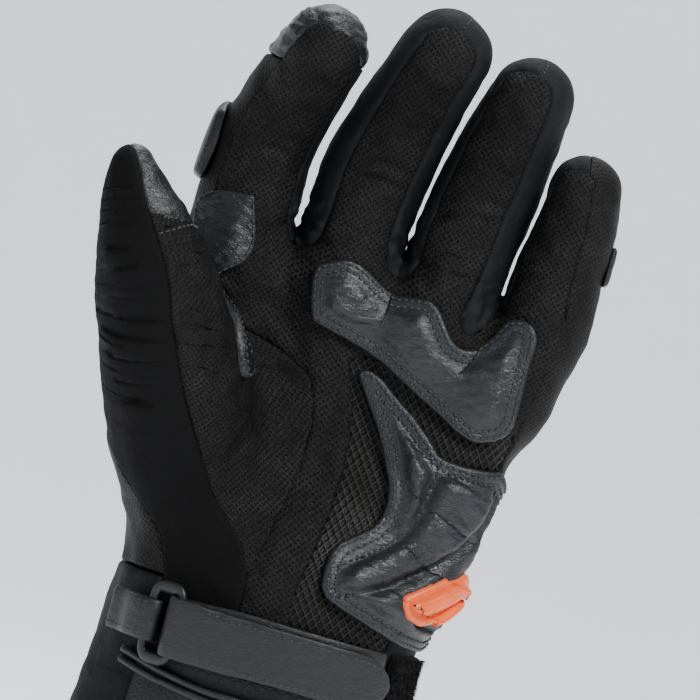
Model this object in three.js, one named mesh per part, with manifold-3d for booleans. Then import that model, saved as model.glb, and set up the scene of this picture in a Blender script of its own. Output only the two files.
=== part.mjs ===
// A left-hand motorcycle gauntlet, held up by the wrist with its palm facing -Y and its fingers up.
// Millimetres, +Z up, origin at the middle of the cuff's opening. The thumb is on the -X side.
// Every panel is laid on one form, the shape of the gloved hand: a smooth union of tapered limbs.
// Tables give places as shares, in percent, of the named sizes below.
import * as THREE from 'three';
import { mergeVertices } from 'three/addons/utils/BufferGeometryUtils.js';
import Module from 'manifold-3d';

const wasm = await Module();
wasm.setup();

// Driving sizes of the hand
const PALM_WIDTH = 100;       // between the seams at the index and little finger sides
const PALM_LENGTH = 100;      // wrist line to the first finger crotch
const PALM_THICKNESS = 36;    // back to front over the knuckles
const FINGER_LENGTH = 71.5;   // first finger crotch to the middle fingertip, straight up
const FINGER_WIDTH = 30;      // widest, at the middle finger's middle joint
const THUMB_WIDTH = 36;       // over the ball of the thumb
const CUFF_LENGTH = 100;      // opening to the wrist line
const CUFF_WIDTH = 108;       // across the opening

// Driving sizes of the materials
const SHELL = 1.8;            // leather with its lining
const PATCH = 1.5;            // flat reinforcement patch
const METACARPAL_PAD = 2.4;   // thinly padded leather
const HEEL_PAD = 4.2;         // foam channels under leather
const NET = 1.0;              // grip net let into the heel
const SLIDER = 3.6;           // moulded slider bars
const SLIDER_BASE = 1.2;      // plate that carries the bars
const STRAP = 2.4;            // leather strap with its hook tape
const PILE = 2.2;             // fuzzy loop patch
const TAB = 2.0;              // leather loop that anchors the buckle
const BINDING = 3.2;          // rolled edge round the opening
const WELT = 1.1;             // radius of the piping over the cuff panel
const KNUCKLE = 1.8;          // hard knuckle plates
const CAP = 1.6;              // leather cap over the index fingertip
const GAP = 0.35;             // clearance between pieces that lie on each other
const SEAM = 0.5;             // clearance between panels that meet edge to edge
const SEAT = 0.7;             // how far a pad's underside lies above the form
const TRIM = 4;               // how far a trimmer reaches past its panel's faces

// Driving sizes of the strap and its buckle
const STRAP_WIDTH = 15.5;
const BUCKLE_WIDTH = 11;      // outside, along the strap
const BUCKLE_HEIGHT = 22;     // outside, across the strap
const BUCKLE_BAR = 2.4;       // thickness of the ring

// The rows of a finger table run past the palm up to this share at the middle fingertip.
const FINGER_SHARE = 71.5;
// How softly the limbs run into each other
const PALM_BLEND = 14;
const ROOT_BLEND = 7;
const THUMB_BLEND = 10;
// How finely the panels are cut
const PANEL_STEP = 10;
const PAD_STEP = 8;
const LIMB_STEPS = 3;
// Vertices closer than this after a cut become one.
const WELD = 0.01;
// Larger than the glove, for rays and cutters
const REACH = 260;

const across = share => share / 100 * PALM_WIDTH;
const up = share => {
  if (share < 0) return CUFF_LENGTH * (1 + share / 100);
  const beyond = Math.max(share - 100, 0);
  return CUFF_LENGTH + Math.min(share, 100) / 100 * PALM_LENGTH + beyond / FINGER_SHARE * FINGER_LENGTH;
};

// Small vector helpers on [x, y, z] arrays
const plus = (a, b, k = 1) => [a[0] + k * b[0], a[1] + k * b[1], a[2] + k * b[2]];
const dot = (a, b) => a[0] * b[0] + a[1] * b[1] + a[2] * b[2];
const unit = a => plus([0, 0, 0], a, 1 / Math.hypot(...a));
const mix = (a, b, t) => a.map((v, i) => v + (b[i] - v) * t);
const clamp = (v, low, high) => Math.min(Math.max(v, low), high);

// A smooth curve through rows of numbers: t runs from 0 at the first row to 1 at the last.
function through(rows, t) {
  const place = clamp(t, 0, 1) * (rows.length - 1);
  const i = Math.min(Math.floor(place), rows.length - 2);
  const f = place - i;
  const row = k => rows[clamp(k, 0, rows.length - 1)];
  return rows[i].map((_, c) => {
    const [p0, p1, p2, p3] = [row(i - 1)[c], row(i)[c], row(i + 1)[c], row(i + 2)[c]];
    return p1 + f * (p2 - p0 + f * (2 * p0 - 5 * p1 + 4 * p2 - p3 + f * (3 * (p1 - p2) + p3 - p0))) / 2;
  });
}

// Limbs: rows of across, up, depth and radius. Depth and radius are shares of the limb's own girth.
const limb = (girth, rows) => {
  const placed = rows.map(([a, u, d, r]) => [across(a), d / 100 * girth, up(u), r / 100 * girth]);
  const steps = (rows.length - 1) * LIMB_STEPS;
  return Array.from({ length: steps + 1 }, (_, i) => through(placed, i / steps));
};
const FINGERS = {
  index: [[-36.5, 88, 0, 47], [-36, 105, 4, 47.5], [-35, 125, 8, 46], [-30.5, 140, -16, 43], [-25.5, 152.6, -56, 39.5]],
  middle: [[-6, 88, 4, 47], [-5, 110, 8, 48.5], [-3.4, 125, 8, 50], [1.6, 145, -24, 45], [6.6, 159, -72, 41.5]],
  ring: [[24, 86, 2, 46], [25, 110, 6, 47.5], [27.3, 125, 6, 48.5], [29.5, 139, -18, 44.5], [32, 153.4, -64, 38.5]],
  little: [[46.5, 74, -6, 43], [51.5, 95, -4, 43.5], [52.3, 110, -4, 41], [53.6, 124, -14, 36.5], [53, 133.4, -32, 33.5]],
};
const THUMB = [
  [-21, 10, -6, 46], [-27, 25, -20, 55], [-34.5, 40, -42, 58], [-43.5, 60, -76, 53],
  [-50.5, 76, -100, 47], [-57, 90, -118, 37], [-62.5, 100, -126, 26], [-65.5, 107, -128, 17],
];
const PALM_RAYS = [
  [[-34, 85, 6, 45], [-27, 50, 6, 49], [-13, 3, 0, 73]],
  [[-5, 86, 10, 46], [-4, 50, 8, 50], [-3, 3, 0, 77]],
  [[22, 84, 8, 45.5], [16, 50, 6, 50], [5, 3, 0, 77]],
  [[43.5, 74, -2, 36], [33.5, 45, -8, 46], [12.5, 3, 0, 72]],
];
const FOREARM = [
  [[-11, 3, 0, 25.5], [-15, -12, 0, 27], [-15, -40, 0, 30], [-14, -100, 0, 37], [-14, -150, 0, 43]],
  [[0, 3, 0, 25.5], [0, -12, 0, 27], [0, -40, 0, 30], [0, -100, 0, 37], [0, -150, 0, 43]],
  [[8.5, 3, 0, 25], [8.5, -12, 0, 25.4], [12, -40, 0, 29.5], [14, -100, 0, 37], [14, -150, 0, 43]],
];
const fingerLimbs = Object.fromEntries(
  Object.entries(FINGERS).map(([name, rows]) => [name, limb(FINGER_WIDTH, rows)]));
const thumbLimb = limb(THUMB_WIDTH, THUMB);
const palmLimbs = [
  ...PALM_RAYS.map(rows => limb(PALM_THICKNESS, rows)),
  ...FOREARM.map(rows => limb(CUFF_WIDTH, rows)),
];

// Distance from p to a limb, with the way out of it.
function fromLimb(rows, p) {
  let best = { d: Infinity };
  for (let i = 1; i < rows.length; i++) {
    const a = rows[i - 1];
    const b = rows[i];
    const ab = plus(b, a, -1);
    const t = clamp(dot(plus(p, a, -1), ab) / dot(ab, ab), 0, 1);
    const out = plus(p, mix(a, b, t), -1);
    const length = Math.hypot(out[0], out[1], out[2]) || 1e-9;
    const d = length - (a[3] + (b[3] - a[3]) * t);
    if (d < best.d) best = { d, g: [out[0] / length, out[1] / length, out[2] / length] };
  }
  return best;
}
const blend = (a, b, width) => {
  const h = clamp(0.5 + (b.d - a.d) / (2 * width), 0, 1);
  return { d: b.d + (a.d - b.d) * h - width * h * (1 - h), g: mix(b.g, a.g, h) };
};
// The form: distance to the gloved hand, with the way out of it.
function form(p) {
  const palm = palmLimbs.map(rows => fromLimb(rows, p)).reduce((a, b) => blend(a, b, PALM_BLEND));
  const fingers = Object.values(fingerLimbs).map(rows => fromLimb(rows, p)).reduce((a, b) => (a.d < b.d ? a : b));
  return blend(blend(palm, fingers, ROOT_BLEND), fromLimb(thumbLimb, p), THUMB_BLEND);
}

// Moves a point on to the form by the shortest way.
function settle(p) {
  let at = p;
  for (let i = 0; i < 12; i++) {
    const { d, g } = form(at);
    at = plus(at, g, -clamp(d, -12, 12) / Math.max(dot(g, g), 0.3));
  }
  return at;
}
// Goes from a point along a direction until it meets the form, or to where it passes nearest.
function cast(from, way) {
  let at = from;
  let nearest = { d: Infinity };
  for (let gone = 0; gone < 2 * REACH;) {
    const { d } = form(at);
    if (d < nearest.d) nearest = { d, at };
    if (d < 0.02) break;
    gone += Math.max(d * 0.8, 0.05);
    at = plus(from, way, gone);
  }
  return settle(nearest.at);
}
const front = (a, u) => cast([across(a), -REACH, up(u)], [0, 1, 0]);
const back = (a, u) => cast([across(a), REACH, up(u)], [0, -1, 0]);
const near = (a, u, depth) => settle([across(a), depth / 100 * PALM_THICKNESS, up(u)]);
// Above the form's front by a height
const lifted = ([a, height], u) => {
  const foot = front(a, u);
  return plus(foot, unit(form(foot).g), height);
};
// Round the wrist or the cuff: an angle of 0 faces the palm side, and 90 the little finger side.
const round = (angle, u) => {
  const turn = THREE.MathUtils.degToRad(angle);
  const out = [Math.sin(turn), -Math.cos(turn), 0];
  return cast(plus([0, 0, up(u)], out, REACH), plus([0, 0, 0], out, -1));
};

// Geometry from shared vertices and triangles, turned so that its faces point out.
function closed(positions, triangles) {
  let volume = 0;
  for (const [a, b, c] of triangles) {
    const [p, q, r] = [positions[a], positions[b], positions[c]];
    volume += dot(p, [q[1] * r[2] - q[2] * r[1], q[2] * r[0] - q[0] * r[2], q[0] * r[1] - q[1] * r[0]]);
  }
  const geometry = new THREE.BufferGeometry();
  geometry.setAttribute('position', new THREE.Float32BufferAttribute(positions.flat(), 3));
  geometry.setIndex(triangles.flatMap(([a, b, c]) => (volume > 0 ? [a, b, c] : [a, c, b])));
  return geometry;
}
// A closed sheet over a grid of points on the form, from one height to another along their normals.
// A looped grid joins its last column to its first.
function sheet(grid, low, high, looped = false) {
  const rows = grid.length;
  const columns = grid[0].length;
  const flat = grid.flat();
  const normals = flat.map(p => unit(form(p).g));
  const positions = [low, high].flatMap(height => flat.map((p, i) => plus(p, normals[i], height)));
  const id = (i, j, top) => top * flat.length + i * columns + j % columns;
  const triangles = [];
  const quad = (a, b, c, d) => triangles.push([a, b, c], [a, c, d]);
  const length = (a, b) => Math.hypot(...plus(flat[a], flat[b], -1));
  // A face of the grid is split along its shorter diagonal, so that slanting rows stay smooth.
  const face = (i, j, top) => {
    const corners = [id(i, j, top), id(i, j + 1, top), id(i + 1, j + 1, top), id(i + 1, j, top)];
    const [p, q, r, t] = corners.map(k => k % flat.length);
    if (length(p, r) > length(q, t)) corners.push(corners.shift());
    if (top) quad(...corners);
    else quad(corners[0], corners[3], corners[2], corners[1]);
  };
  const last = looped ? columns : columns - 1;
  for (let i = 0; i < rows - 1; i++) {
    for (let j = 0; j < last; j++) {
      face(i, j, 1);
      face(i, j, 0);
    }
    if (!looped) {
      quad(id(i, 0, 0), id(i, 0, 1), id(i + 1, 0, 1), id(i + 1, 0, 0));
      quad(id(i, last, 1), id(i, last, 0), id(i + 1, last, 0), id(i + 1, last, 1));
    }
  }
  for (let j = 0; j < last; j++) {
    quad(id(0, j, 0), id(0, j + 1, 0), id(0, j + 1, 1), id(0, j, 1));
    quad(id(rows - 1, j, 1), id(rows - 1, j + 1, 1), id(rows - 1, j + 1, 0), id(rows - 1, j, 0));
  }
  return closed(positions, triangles);
}

// A band laid on the form. Each row of the table is a few points across it, from edge to edge.
// Its edges are drawn in by half the seam clearance, or let out by it when it serves as a cutter.
function bandGrid(rows, along, wide, edge, swell = 1) {
  const grid = Array.from({ length: along + 1 }, (_, i) => {
    const points = rows[0].map((_, c) => through(rows.map(row => row[c]), i / along));
    const ways = points.map(p => unit(form(p).g));
    const width = points.slice(1).reduce((sum, p, k) => sum + Math.hypot(...plus(p, points[k], -1)), 0);
    const inset = clamp(edge * SEAM / 2 / Math.max(width, 1), -0.2, 0.2);
    return Array.from({ length: wide + 1 }, (_, j) => {
      const place = (inset + (1 - 2 * inset) * j / wide) * (points.length - 1);
      const k = clamp(Math.floor(place), 0, points.length - 2);
      const f = place - k;
      const chord = Math.hypot(...plus(points[k + 1], points[k], -1));
      const bulge = swell * f * (1 - f) * chord;
      return settle(plus(mix(points[k], points[k + 1], f), unit(mix(ways[k], ways[k + 1], f)), bulge));
    });
  });
  if (edge > 0) return grid;
  const beyond = (row, next) => row.map((p, j) => settle(plus(p, unit(plus(p, next[j], -1)), SEAM / 2)));
  return [beyond(grid[0], grid[1]), ...grid.slice(1, -1), beyond(grid.at(-1), grid.at(-2))];
}
const band = (rows, along, wide, swell, low = -SHELL, high = 0) => sheet(bandGrid(rows, along, wide, 1, swell), low, high);
// A shallow cutter keeps its shape in the narrow forks, and a deep one reaches past coarse facets.
const trimmer = (rows, along, wide, swell) => {
  const grid = bandGrid(rows, along, wide, -1, swell);
  return [TRIM / 5, TRIM].map(reach => solid(sheet(grid, -SHELL - reach, reach)));
};

// Solids for joins and cuts
function solid(geometry, weld = 1e-3) {
  const bare = geometry.clone();
  for (const name of ['normal', 'uv']) bare.deleteAttribute(name);
  const merged = mergeVertices(bare, weld);
  return new wasm.Manifold(new wasm.Mesh({
    numProp: 3,
    vertProperties: Float32Array.from(merged.attributes.position.array),
    triVerts: Uint32Array.from(merged.index.array),
  }));
}
function geometryOf(shape) {
  const { vertProperties, triVerts } = shape.getMesh();
  const point = k => new THREE.Vector3().fromArray(vertProperties, 3 * k);
  const size = face => new THREE.Triangle(...face.map(point)).getArea();
  const faces = Array.from({ length: triVerts.length / 3 }, (_, i) => [...triVerts.subarray(3 * i, 3 * i + 3)]);
  // The largest face comes first, so that the inside is told from the outside at a well-shaped one.
  const ordered = faces.map(face => [size(face), face]).sort((a, b) => b[0] - a[0]);
  const geometry = new THREE.BufferGeometry();
  geometry.setAttribute('position', new THREE.BufferAttribute(Float32Array.from(vertProperties), 3));
  geometry.setIndex(ordered.flatMap(([, face]) => face));
  return geometry;
}

// The largest body of a cut shape. Rounding its vertices off can part it again, so it is taken again.
function largest(shape, rounds = 3) {
  const body = solid(geometryOf(shape), WELD * rounds).decompose().reduce((a, b) => (a.volume() > b.volume() ? a : b));
  return rounds > 1 ? largest(body, rounds - 1) : body;
}

// Looking at the glove from an azimuth: right, up, and the way the eye looks.
function eye(azimuth) {
  const turn = THREE.MathUtils.degToRad(azimuth);
  return { right: [Math.cos(turn), Math.sin(turn), 0], look: [-Math.sin(turn), Math.cos(turn), 0] };
}
// The straight-sided cutter whose outline, seen from the azimuth, is the given loop of points.
function cutter(loop, azimuth) {
  const { right, look } = eye(azimuth);
  const outline = new THREE.Shape(loop.map(p => new THREE.Vector2(dot(p, right), p[2])));
  const prism = new THREE.ExtrudeGeometry(outline, { depth: 2 * REACH, bevelEnabled: false });
  const basis = new THREE.Matrix4().makeBasis(
    new THREE.Vector3(...right), new THREE.Vector3(0, 0, 1), new THREE.Vector3(...plus([0, 0, 0], look, -1)));
  prism.applyMatrix4(basis.setPosition(...plus([0, 0, 0], look, REACH)));
  return solid(prism);
}
// A panel laid on the form and cut to a loop of points, as seen from an azimuth.
function laid(loop, azimuth, low, high, step = PANEL_STEP) {
  const { right, look } = eye(azimuth);
  const sides = loop.map(p => dot(p, right));
  const ups = loop.map(p => p[2]);
  const span = values => [Math.min(...values) - 0.5, Math.max(...values) + 0.5];
  const [[left, rightmost], [bottom, top]] = [span(sides), span(ups)];
  const columns = Math.ceil((rightmost - left) / step);
  const rows = Math.ceil((top - bottom) / step);
  const grid = Array.from({ length: rows + 1 }, (_, i) => Array.from({ length: columns + 1 }, (_, j) => {
    const side = left + (rightmost - left) * j / columns;
    const height = bottom + (top - bottom) * i / rows;
    return cast(plus(plus([0, 0, height], right, side), look, -REACH), look);
  }));
  return solid(sheet(grid, low, high)).intersect(cutter(loop, azimuth));
}
// A loop drawn in from its own edge, so that panels side by side keep the seam clearance.
function drawnIn(loop, distance) {
  const turn = Math.sign(THREE.ShapeUtils.area(loop.map(p => new THREE.Vector2(p[0], p[2]))));
  return loop.map((p, i) => {
    const before = loop[(i + loop.length - 1) % loop.length];
    const after = loop[(i + 1) % loop.length];
    const way = unit([after[0] - before[0], 0, after[2] - before[2]]);
    return plus(p, [-way[2] * turn, 0, way[0] * turn], distance);
  });
}

// Where the seams run on a finger: shares of its radius from its middle line, at the root and at
// the tip of each side, and over the end. Front seams differ per finger, back seams are alike.
const FRONT_SEAMS = {
  index: { leftRoot: 0.62, leftTip: 0.58, tip: 0.38, rightTip: 0.93, rightRoot: 0.84 },
  middle: { leftRoot: 0.5, leftTip: 0.56, tip: 0.48, rightTip: 0.68, rightRoot: 0.68 },
  ring: { leftRoot: 0.73, leftTip: 0.82, tip: 0.46, rightTip: 0.44, rightRoot: 0.52 },
  little: { leftRoot: 0.92, leftTip: 0.92, tip: 0.45, rightTip: 0.1, rightRoot: 0.42 },
};
const BACK_SEAM = { leftRoot: 0.62, leftTip: 0.58, tip: 0.5, rightTip: 0.58, rightRoot: 0.62 };
const TIP_TURN = 0.24;        // share of a side's walk that goes round the fingertip

// A finger's outline, walked from -1 at its left root over 0 at the tip to 1 at its right root.
// Gives the middle line's point there, the way out to the side, the radius and how far up it is.
function walk(name, w) {
  const rows = fingerLimbs[name];
  const side = Math.sign(w) || 1;
  const away = Math.abs(w);
  const t = away < TIP_TURN ? 1 : 1 - (away - TIP_TURN) / (1 - TIP_TURN);
  const [x, y, z, radius] = through(rows, t);
  const [before, after] = [through(rows, t - 0.04), through(rows, t + 0.04)];
  const along = unit([after[0] - before[0], 0, after[2] - before[2]]);
  const turn = Math.min(away / TIP_TURN, 1) * Math.PI / 2;
  const out = [0, 2].reduce((v, c) => {
    v[c] = along[c] * Math.cos(turn) + side * (c ? -along[0] : along[2]) * Math.sin(turn);
    return v;
  }, [0, 0, 0]);
  return { centre: [x, y, z], out, radius, t, turn, side };
}
function seamShare(seams, { side, t, turn }) {
  const [root, tip] = side < 0 ? [seams.leftRoot, seams.leftTip] : [seams.rightRoot, seams.rightTip];
  const straight = root + (tip - root) * t;
  return seams.tip + (straight - seams.tip) * Math.sin(turn) ** 2;
}
const seamPoint = (name, w, seams, way) => {
  const place = walk(name, w);
  const at = plus(place.centre, place.out, place.radius * seamShare(seams, place));
  return cast([at[0], -way * REACH, at[2]], [0, way, 0]);
};
const frontSeam = (name, w) => seamPoint(name, w, FRONT_SEAMS[name], 1);
const backSeam = (name, w) => seamPoint(name, w, BACK_SEAM, -1);
const rimPoint = (name, w) => {
  const { centre, out, radius } = walk(name, w);
  return settle(plus(centre, out, radius));
};
// The walk's place on one side where the middle line is at a given height.
function walkAt(name, share, side) {
  let [low, high] = [TIP_TURN, 1];
  for (let i = 0; i < 30; i++) {
    const middle = (low + high) / 2;
    if (walk(name, side * middle).centre[2] > up(share)) low = middle;
    else high = middle;
  }
  return side * low;
}
const spread = (from, to, count) => Array.from({ length: count }, (_, i) => from + (to - from) * i / (count - 1));

// Finger crotches: rows of the front notch from one finger's side over its bottom to the next,
// then a height where the fingers stand apart, and the back notch.
const CROTCHES = [
  { left: 'index', right: 'middle', open: 113, notch: [[-23.6, 107], [-21.5, 101], [-18.3, 99.3], [-15.6, 100.7], [-13.2, 106]],
    parting: 106, dorsal: [-20.5, 92] },
  { left: 'middle', right: 'ring', open: 115, notch: [[5.2, 107], [6.5, 101], [9.6, 97.8], [12.2, 99.5], [14, 106]],
    parting: 106, dorsal: [10, 92] },
  { left: 'ring', right: 'little', open: 107, notch: [[30.4, 98], [29.6, 91], [32, 87.3], [35.5, 90], [38.4, 97]],
    parting: 104, dorsal: [37, 84] },
];
// The bottom of a fork: straight down from the middle of the gap between its fingers.
const saddle = (left, right, parting) => cast(
  mix(rimPoint(left, walkAt(left, parting, 1)), rimPoint(right, walkAt(right, parting, -1)), 0.5), [0, 0, -1]);

// The three-sided strip between two fingers: front seam, side and back seam, from one fingertip
// down through the crotch and up to the next fingertip. A start above 0 leaves a tip to its cap.
function fourchette({ left, right, open, notch, parting, dorsal }, fromTip, toTip) {
  const down = spread(fromTip, walkAt(left, open, 1), 9);
  const climb = spread(walkAt(right, open, -1), toTip, 9);
  const side = name => w => [frontSeam(name, w), rimPoint(name, w), backSeam(name, w)];
  const bottom = saddle(left, right, parting);
  const spreadOf = [-1, -0.5, 0, 0.5, 1];
  const crotch = notch.map(([a, u], i) => {
    const aside = spreadOf[i];
    const lift = Math.abs(aside) * 4;
    const middle = settle(plus(bottom, [aside * 1.2, 0, lift]));
    return [front(a, u), middle, back(dorsal[0] + aside * 4, dorsal[1] + lift)];
  });
  return [...down.map(side(left)), ...crotch, ...climb.map(side(right))];
}

// Seams of the thumb's ball, read from the front: rows of across and up
const THENAR_SEAM = [[-9, -15], [-9, 13], [-7.5, 18], [-5.5, 25], [-4.2, 33], [-2.4, 42], [-2, 51], [-3.2, 59], [-6, 65],
  [-12, 68.4], [-19, 72]];
const BALL_SEAM = [[-9, -15], [-9, 13], [-13, 18], [-20, 25], [-26, 33], [-31, 42], [-36, 51], [-40.5, 60], [-42.5, 65],
  [-44.5, 70], [-46, 74.5], [-47.6, 79], [-49.5, 83], [-51.5, 86.5], [-53.5, 90], [-56, 94], [-58.5, 98], [-61, 102]];
// The same seams where the thumb hides them: rows of across, up and depth as a share of the palm's thickness
const WEB_SEAM = [[-27, 77, -50], [-34, 82.5, -45], [-41, 87, -38], [-46.5, 90, -25]];
const BEHIND_THUMB = [[-55, 51, -16], [-51, 62, -8], [-49.5, 74, -10], [-49.5, 84, -18]];
// Net seam, from the wrist up to where the metacarpal pad covers it
const NET_SEAM = [[4, -15], [4, 10], [6, 20], [7.6, 32], [8.2, 43], [7.6, 53], [6, 61], [3.5, 68], [2, 72.5]];
const NET_TOP = [[6, 76], [22, 74], [38, 66], [52.6, 64.5]];
// Seams along the little finger side and along the back of the thumb side, from the wrist up
const ULNAR_SEAM = [[34.5, 4], [36, 10], [40, 20], [44.5, 33], [48, 45], [50.5, 54], [51.8, 62], [52.4, 70], [54, 77], [55.6, 86], [57, 97]];
const ULNAR_BACK = [[32, 4], [33, 10], [35, 20], [39, 33], [42.5, 45], [44.5, 54], [46, 62], [47.5, 70], [50, 77], [53, 86], [55, 97]];
const RADIAL_BACK = [[-30.5, 4], [-32, 14], [-34, 24], [-36.5, 35], [-38.5, 48], [-40, 60], [-41, 70], [-41.5, 78], [-42, 86], [-42.5, 92], [-43, 99]];
const RADIAL_FRONT = [[-30.5, 4, -80], [-37, 14, -75], [-44, 23, -70], [-49.5, 32, -62], [-56, 42, -42]];
const HAND_END = -15;         // the palm's panels run this far under the strap
const CUFF_TOP = 3.5;           // the cuff's own back panel rises to here

const fingersUp = ['index', 'middle', 'ring', 'little'];
const ROOT = { index: 106, middle: 106, ring: 104, little: 96 };
// Front or back strip of a finger, between its seams, from below its root to the tip.
function fingerStrip(name, seam, way, from, low, high) {
  const ws = spread(walkAt(name, from, 1), 0.04, 8);
  const grid = ws.map(w => {
    const [left, right] = [seam(name, -w), seam(name, w)];
    return spread(0.035, 0.965, 4).map(t => {
      const at = mix(left, right, t);
      return cast([at[0], -way * REACH, at[2]], [0, way, 0]);
    });
  });
  return solid(sheet(grid, low, high));
}
// The edge of the palm or the back between the fingers: up one seam, over the open strip's end and
// down into the notch.
function fingerEdge(seam, notchOf) {
  return fingersUp.flatMap((name, i) => [
    seam(name, walkAt(name, ROOT[name] + 4, -1)),
    seam(name, walkAt(name, ROOT[name] + 4, 1)),
    ...(i < CROTCHES.length ? notchOf(CROTCHES[i]) : []),
  ]);
}
// Round the thumb at a height: an angle of 0 faces the palm side, 90 the palm and 180 the back.
// Past the last row, lean turns from 90 at the side of the tip to 0 on top of it.
function thumbAround(share, angle, lean = 90) {
  let [low, high] = [0, 1];
  for (let i = 0; i < 30; i++) {
    if (through(thumbLimb, (low + high) / 2)[2] < up(share)) low = (low + high) / 2;
    else high = (low + high) / 2;
  }
  const [x, y, z, radius] = through(thumbLimb, low);
  const along = unit(plus(through(thumbLimb, low + 0.03), through(thumbLimb, low - 0.03), -1).slice(0, 3));
  const side = unit([along[2], 0, -along[0]]);
  const ahead = [-side[2] * along[1], side[2] * along[0] - side[0] * along[2], side[0] * along[1]];
  const [turn, tilt] = [angle, lean].map(THREE.MathUtils.degToRad);
  const out = plus(plus([0, 0, 0], ahead, Math.cos(turn)), side, Math.sin(turn));
  const way = plus(plus([0, 0, 0], out, Math.sin(tilt)), along, Math.cos(tilt));
  return settle(plus([x, y, z], way, radius));
}
const TIP_LEANS = [65, 35, 4];
const TIP_SHARE = 106;
const SEAM_AT_TIP = 18;       // degrees round the thumb where its front seam ends

const PAINTS = {
  perforated_leather: { color: 0x1b1c1e, roughness: 0.62, metalness: 0 },
  pad_leather: { color: 0x2a2d31, roughness: 0.45, metalness: 0 },
  smooth_leather: { color: 0x222427, roughness: 0.4, metalness: 0 },
  softshell: { color: 0x15191d, roughness: 0.85, metalness: 0 },
  grip_net: { color: 0x26272a, roughness: 0.7, metalness: 0 },
  cuff_fabric: { color: 0x141518, roughness: 0.8, metalness: 0 },
  loop_pile: { color: 0x101113, roughness: 1, metalness: 0 },
  buckle_metal: { color: 0x4a4d50, roughness: 0.45, metalness: 0.6 },
  slider_plastic: { color: 0xf0561f, roughness: 0.42, metalness: 0 },
};
const paints = Object.fromEntries(
  Object.entries(PAINTS).map(([name, look]) => [name, new THREE.MeshStandardMaterial(look)]));
const glove = new THREE.Group();
function add(name, shape, paint) {
  const geometry = shape.isBufferGeometry ? shape : geometryOf(shape);
  const mesh = new THREE.Mesh(geometry, paints[paint]);
  mesh.name = name;
  glove.add(mesh);
}
const frontOf = ([a, u]) => front(a, u);
const backOf = ([a, u]) => back(a, u);
const nearOf = ([a, u, depth]) => near(a, u, depth);

// Rows of the bands, each from its front edge to its rear edge
const CAP_WALK = { left: walkAt('index', 144, -1), right: 0.22 };    // where the index cap ends on either side
const END = 0.004;                               // half the clearance at a fingertip, as a walk
const sideRow = name => w => [frontSeam(name, w), rimPoint(name, w), backSeam(name, w)];
const webRow = (a, mid, e) => [a, mid, e];
const ulnarRows = ULNAR_SEAM.map((place, i) => {
  const [fore, rear] = [frontOf(place), backOf(ULNAR_BACK[i])];
  return [fore, settle([Math.max(fore[0], rear[0]) + 14, (fore[1] + rear[1]) / 2, fore[2]]), rear];
});
const ballPoints = BALL_SEAM.map(frontOf);
const thumbTip = angles => TIP_LEANS.map(lean => angles.map(angle => thumbAround(TIP_SHARE, angle, lean)));
const REAR = 165;
const webPoints = WEB_SEAM.map(nearOf);
const behindPoints = BEHIND_THUMB.map(nearOf);
const radialFront = RADIAL_FRONT.map(nearOf);
const thumbPalmRows = [
  ...THENAR_SEAM.slice(2).map((place, i) => {
    const [from, to] = [BALL_SEAM[i + 2], place];
    return webRow(ballPoints[i + 2], front((from[0] + to[0]) / 2, (from[1] + to[1]) / 2), frontOf(to));
  }),
  webRow(ballPoints[11], thumbAround(76, 55), webPoints[0]),
  webRow(ballPoints[12], thumbAround(80, 70), webPoints[1]),
  webRow(ballPoints[13], thumbAround(84, 85), webPoints[2]),
  webRow(ballPoints[14], thumbAround(88, 95), webPoints[3]),
  webRow(ballPoints[15], thumbAround(93, 90), thumbAround(91, 150)),
  webRow(ballPoints[16], thumbAround(98, 90), thumbAround(97, REAR)),
  webRow(ballPoints[17], thumbAround(102, 90), thumbAround(102, REAR)),
  ...thumbTip([SEAM_AT_TIP, 90, REAR]),
];
const leftOf = ([a, u]) => near(a, u, -60);
const thumbBackRows = [
  [front(-9, -15), front(-20, -15), front(-30.5, -15)],
  [front(-9, 0), front(-20, 0), front(-30.5, 0)],
  [front(-9, 10), front(-20, 8), front(-32, 9)],
  [ballPoints[2], front(-26, 16), radialFront[1]],
  [ballPoints[3], front(-33, 24), radialFront[2]],
  [ballPoints[4], front(-39, 33), radialFront[3]],
  [ballPoints[5], near(-49, 42, -100), radialFront[4]],
  [ballPoints[6], leftOf([-60, 52]), behindPoints[0]],
  [ballPoints[7], leftOf([-64, 61]), behindPoints[1]],
  [ballPoints[9], leftOf([-68, 72]), behindPoints[2]],
  [ballPoints[12], thumbAround(83, -90), behindPoints[3]],
  [ballPoints[15], thumbAround(94, -95), thumbAround(91, REAR - 375)],
  [ballPoints[16], thumbAround(98, -95), thumbAround(97, REAR - 360)],
  [ballPoints[17], thumbAround(102, -95), thumbAround(102, REAR - 360)],
  ...thumbTip([SEAM_AT_TIP, -95, REAR - 360]),
];
const radialRows = [
  ...radialFront.map((fore, i) => {
    const rear = backOf(RADIAL_BACK[i]);
    return [fore, settle([fore[0] - 6 + i, (fore[1] + rear[1]) / 2, fore[2]]), rear];
  }),
  ...[...behindPoints, webPoints[3]].map((fore, i) => {
    const rear = backOf(RADIAL_BACK[i + 5]);
    return [fore, settle(mix(fore, rear, 0.5)), rear];
  }),
  ...spread(walkAt('index', 104, -1), CAP_WALK.left - END, 6).map(sideRow('index')),
];
const CUFF_SEAMS = [-51, 57];                    // degrees from the palm side to each side seam
const HEM = 3;                                   // how far the panels stop above the opening, in percent of the cuff
const cuffRows = (from, to, top) => spread(top, HEM - 100, 6).map(u => spread(from, to, 7).map(angle => round(angle, u)));
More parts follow.
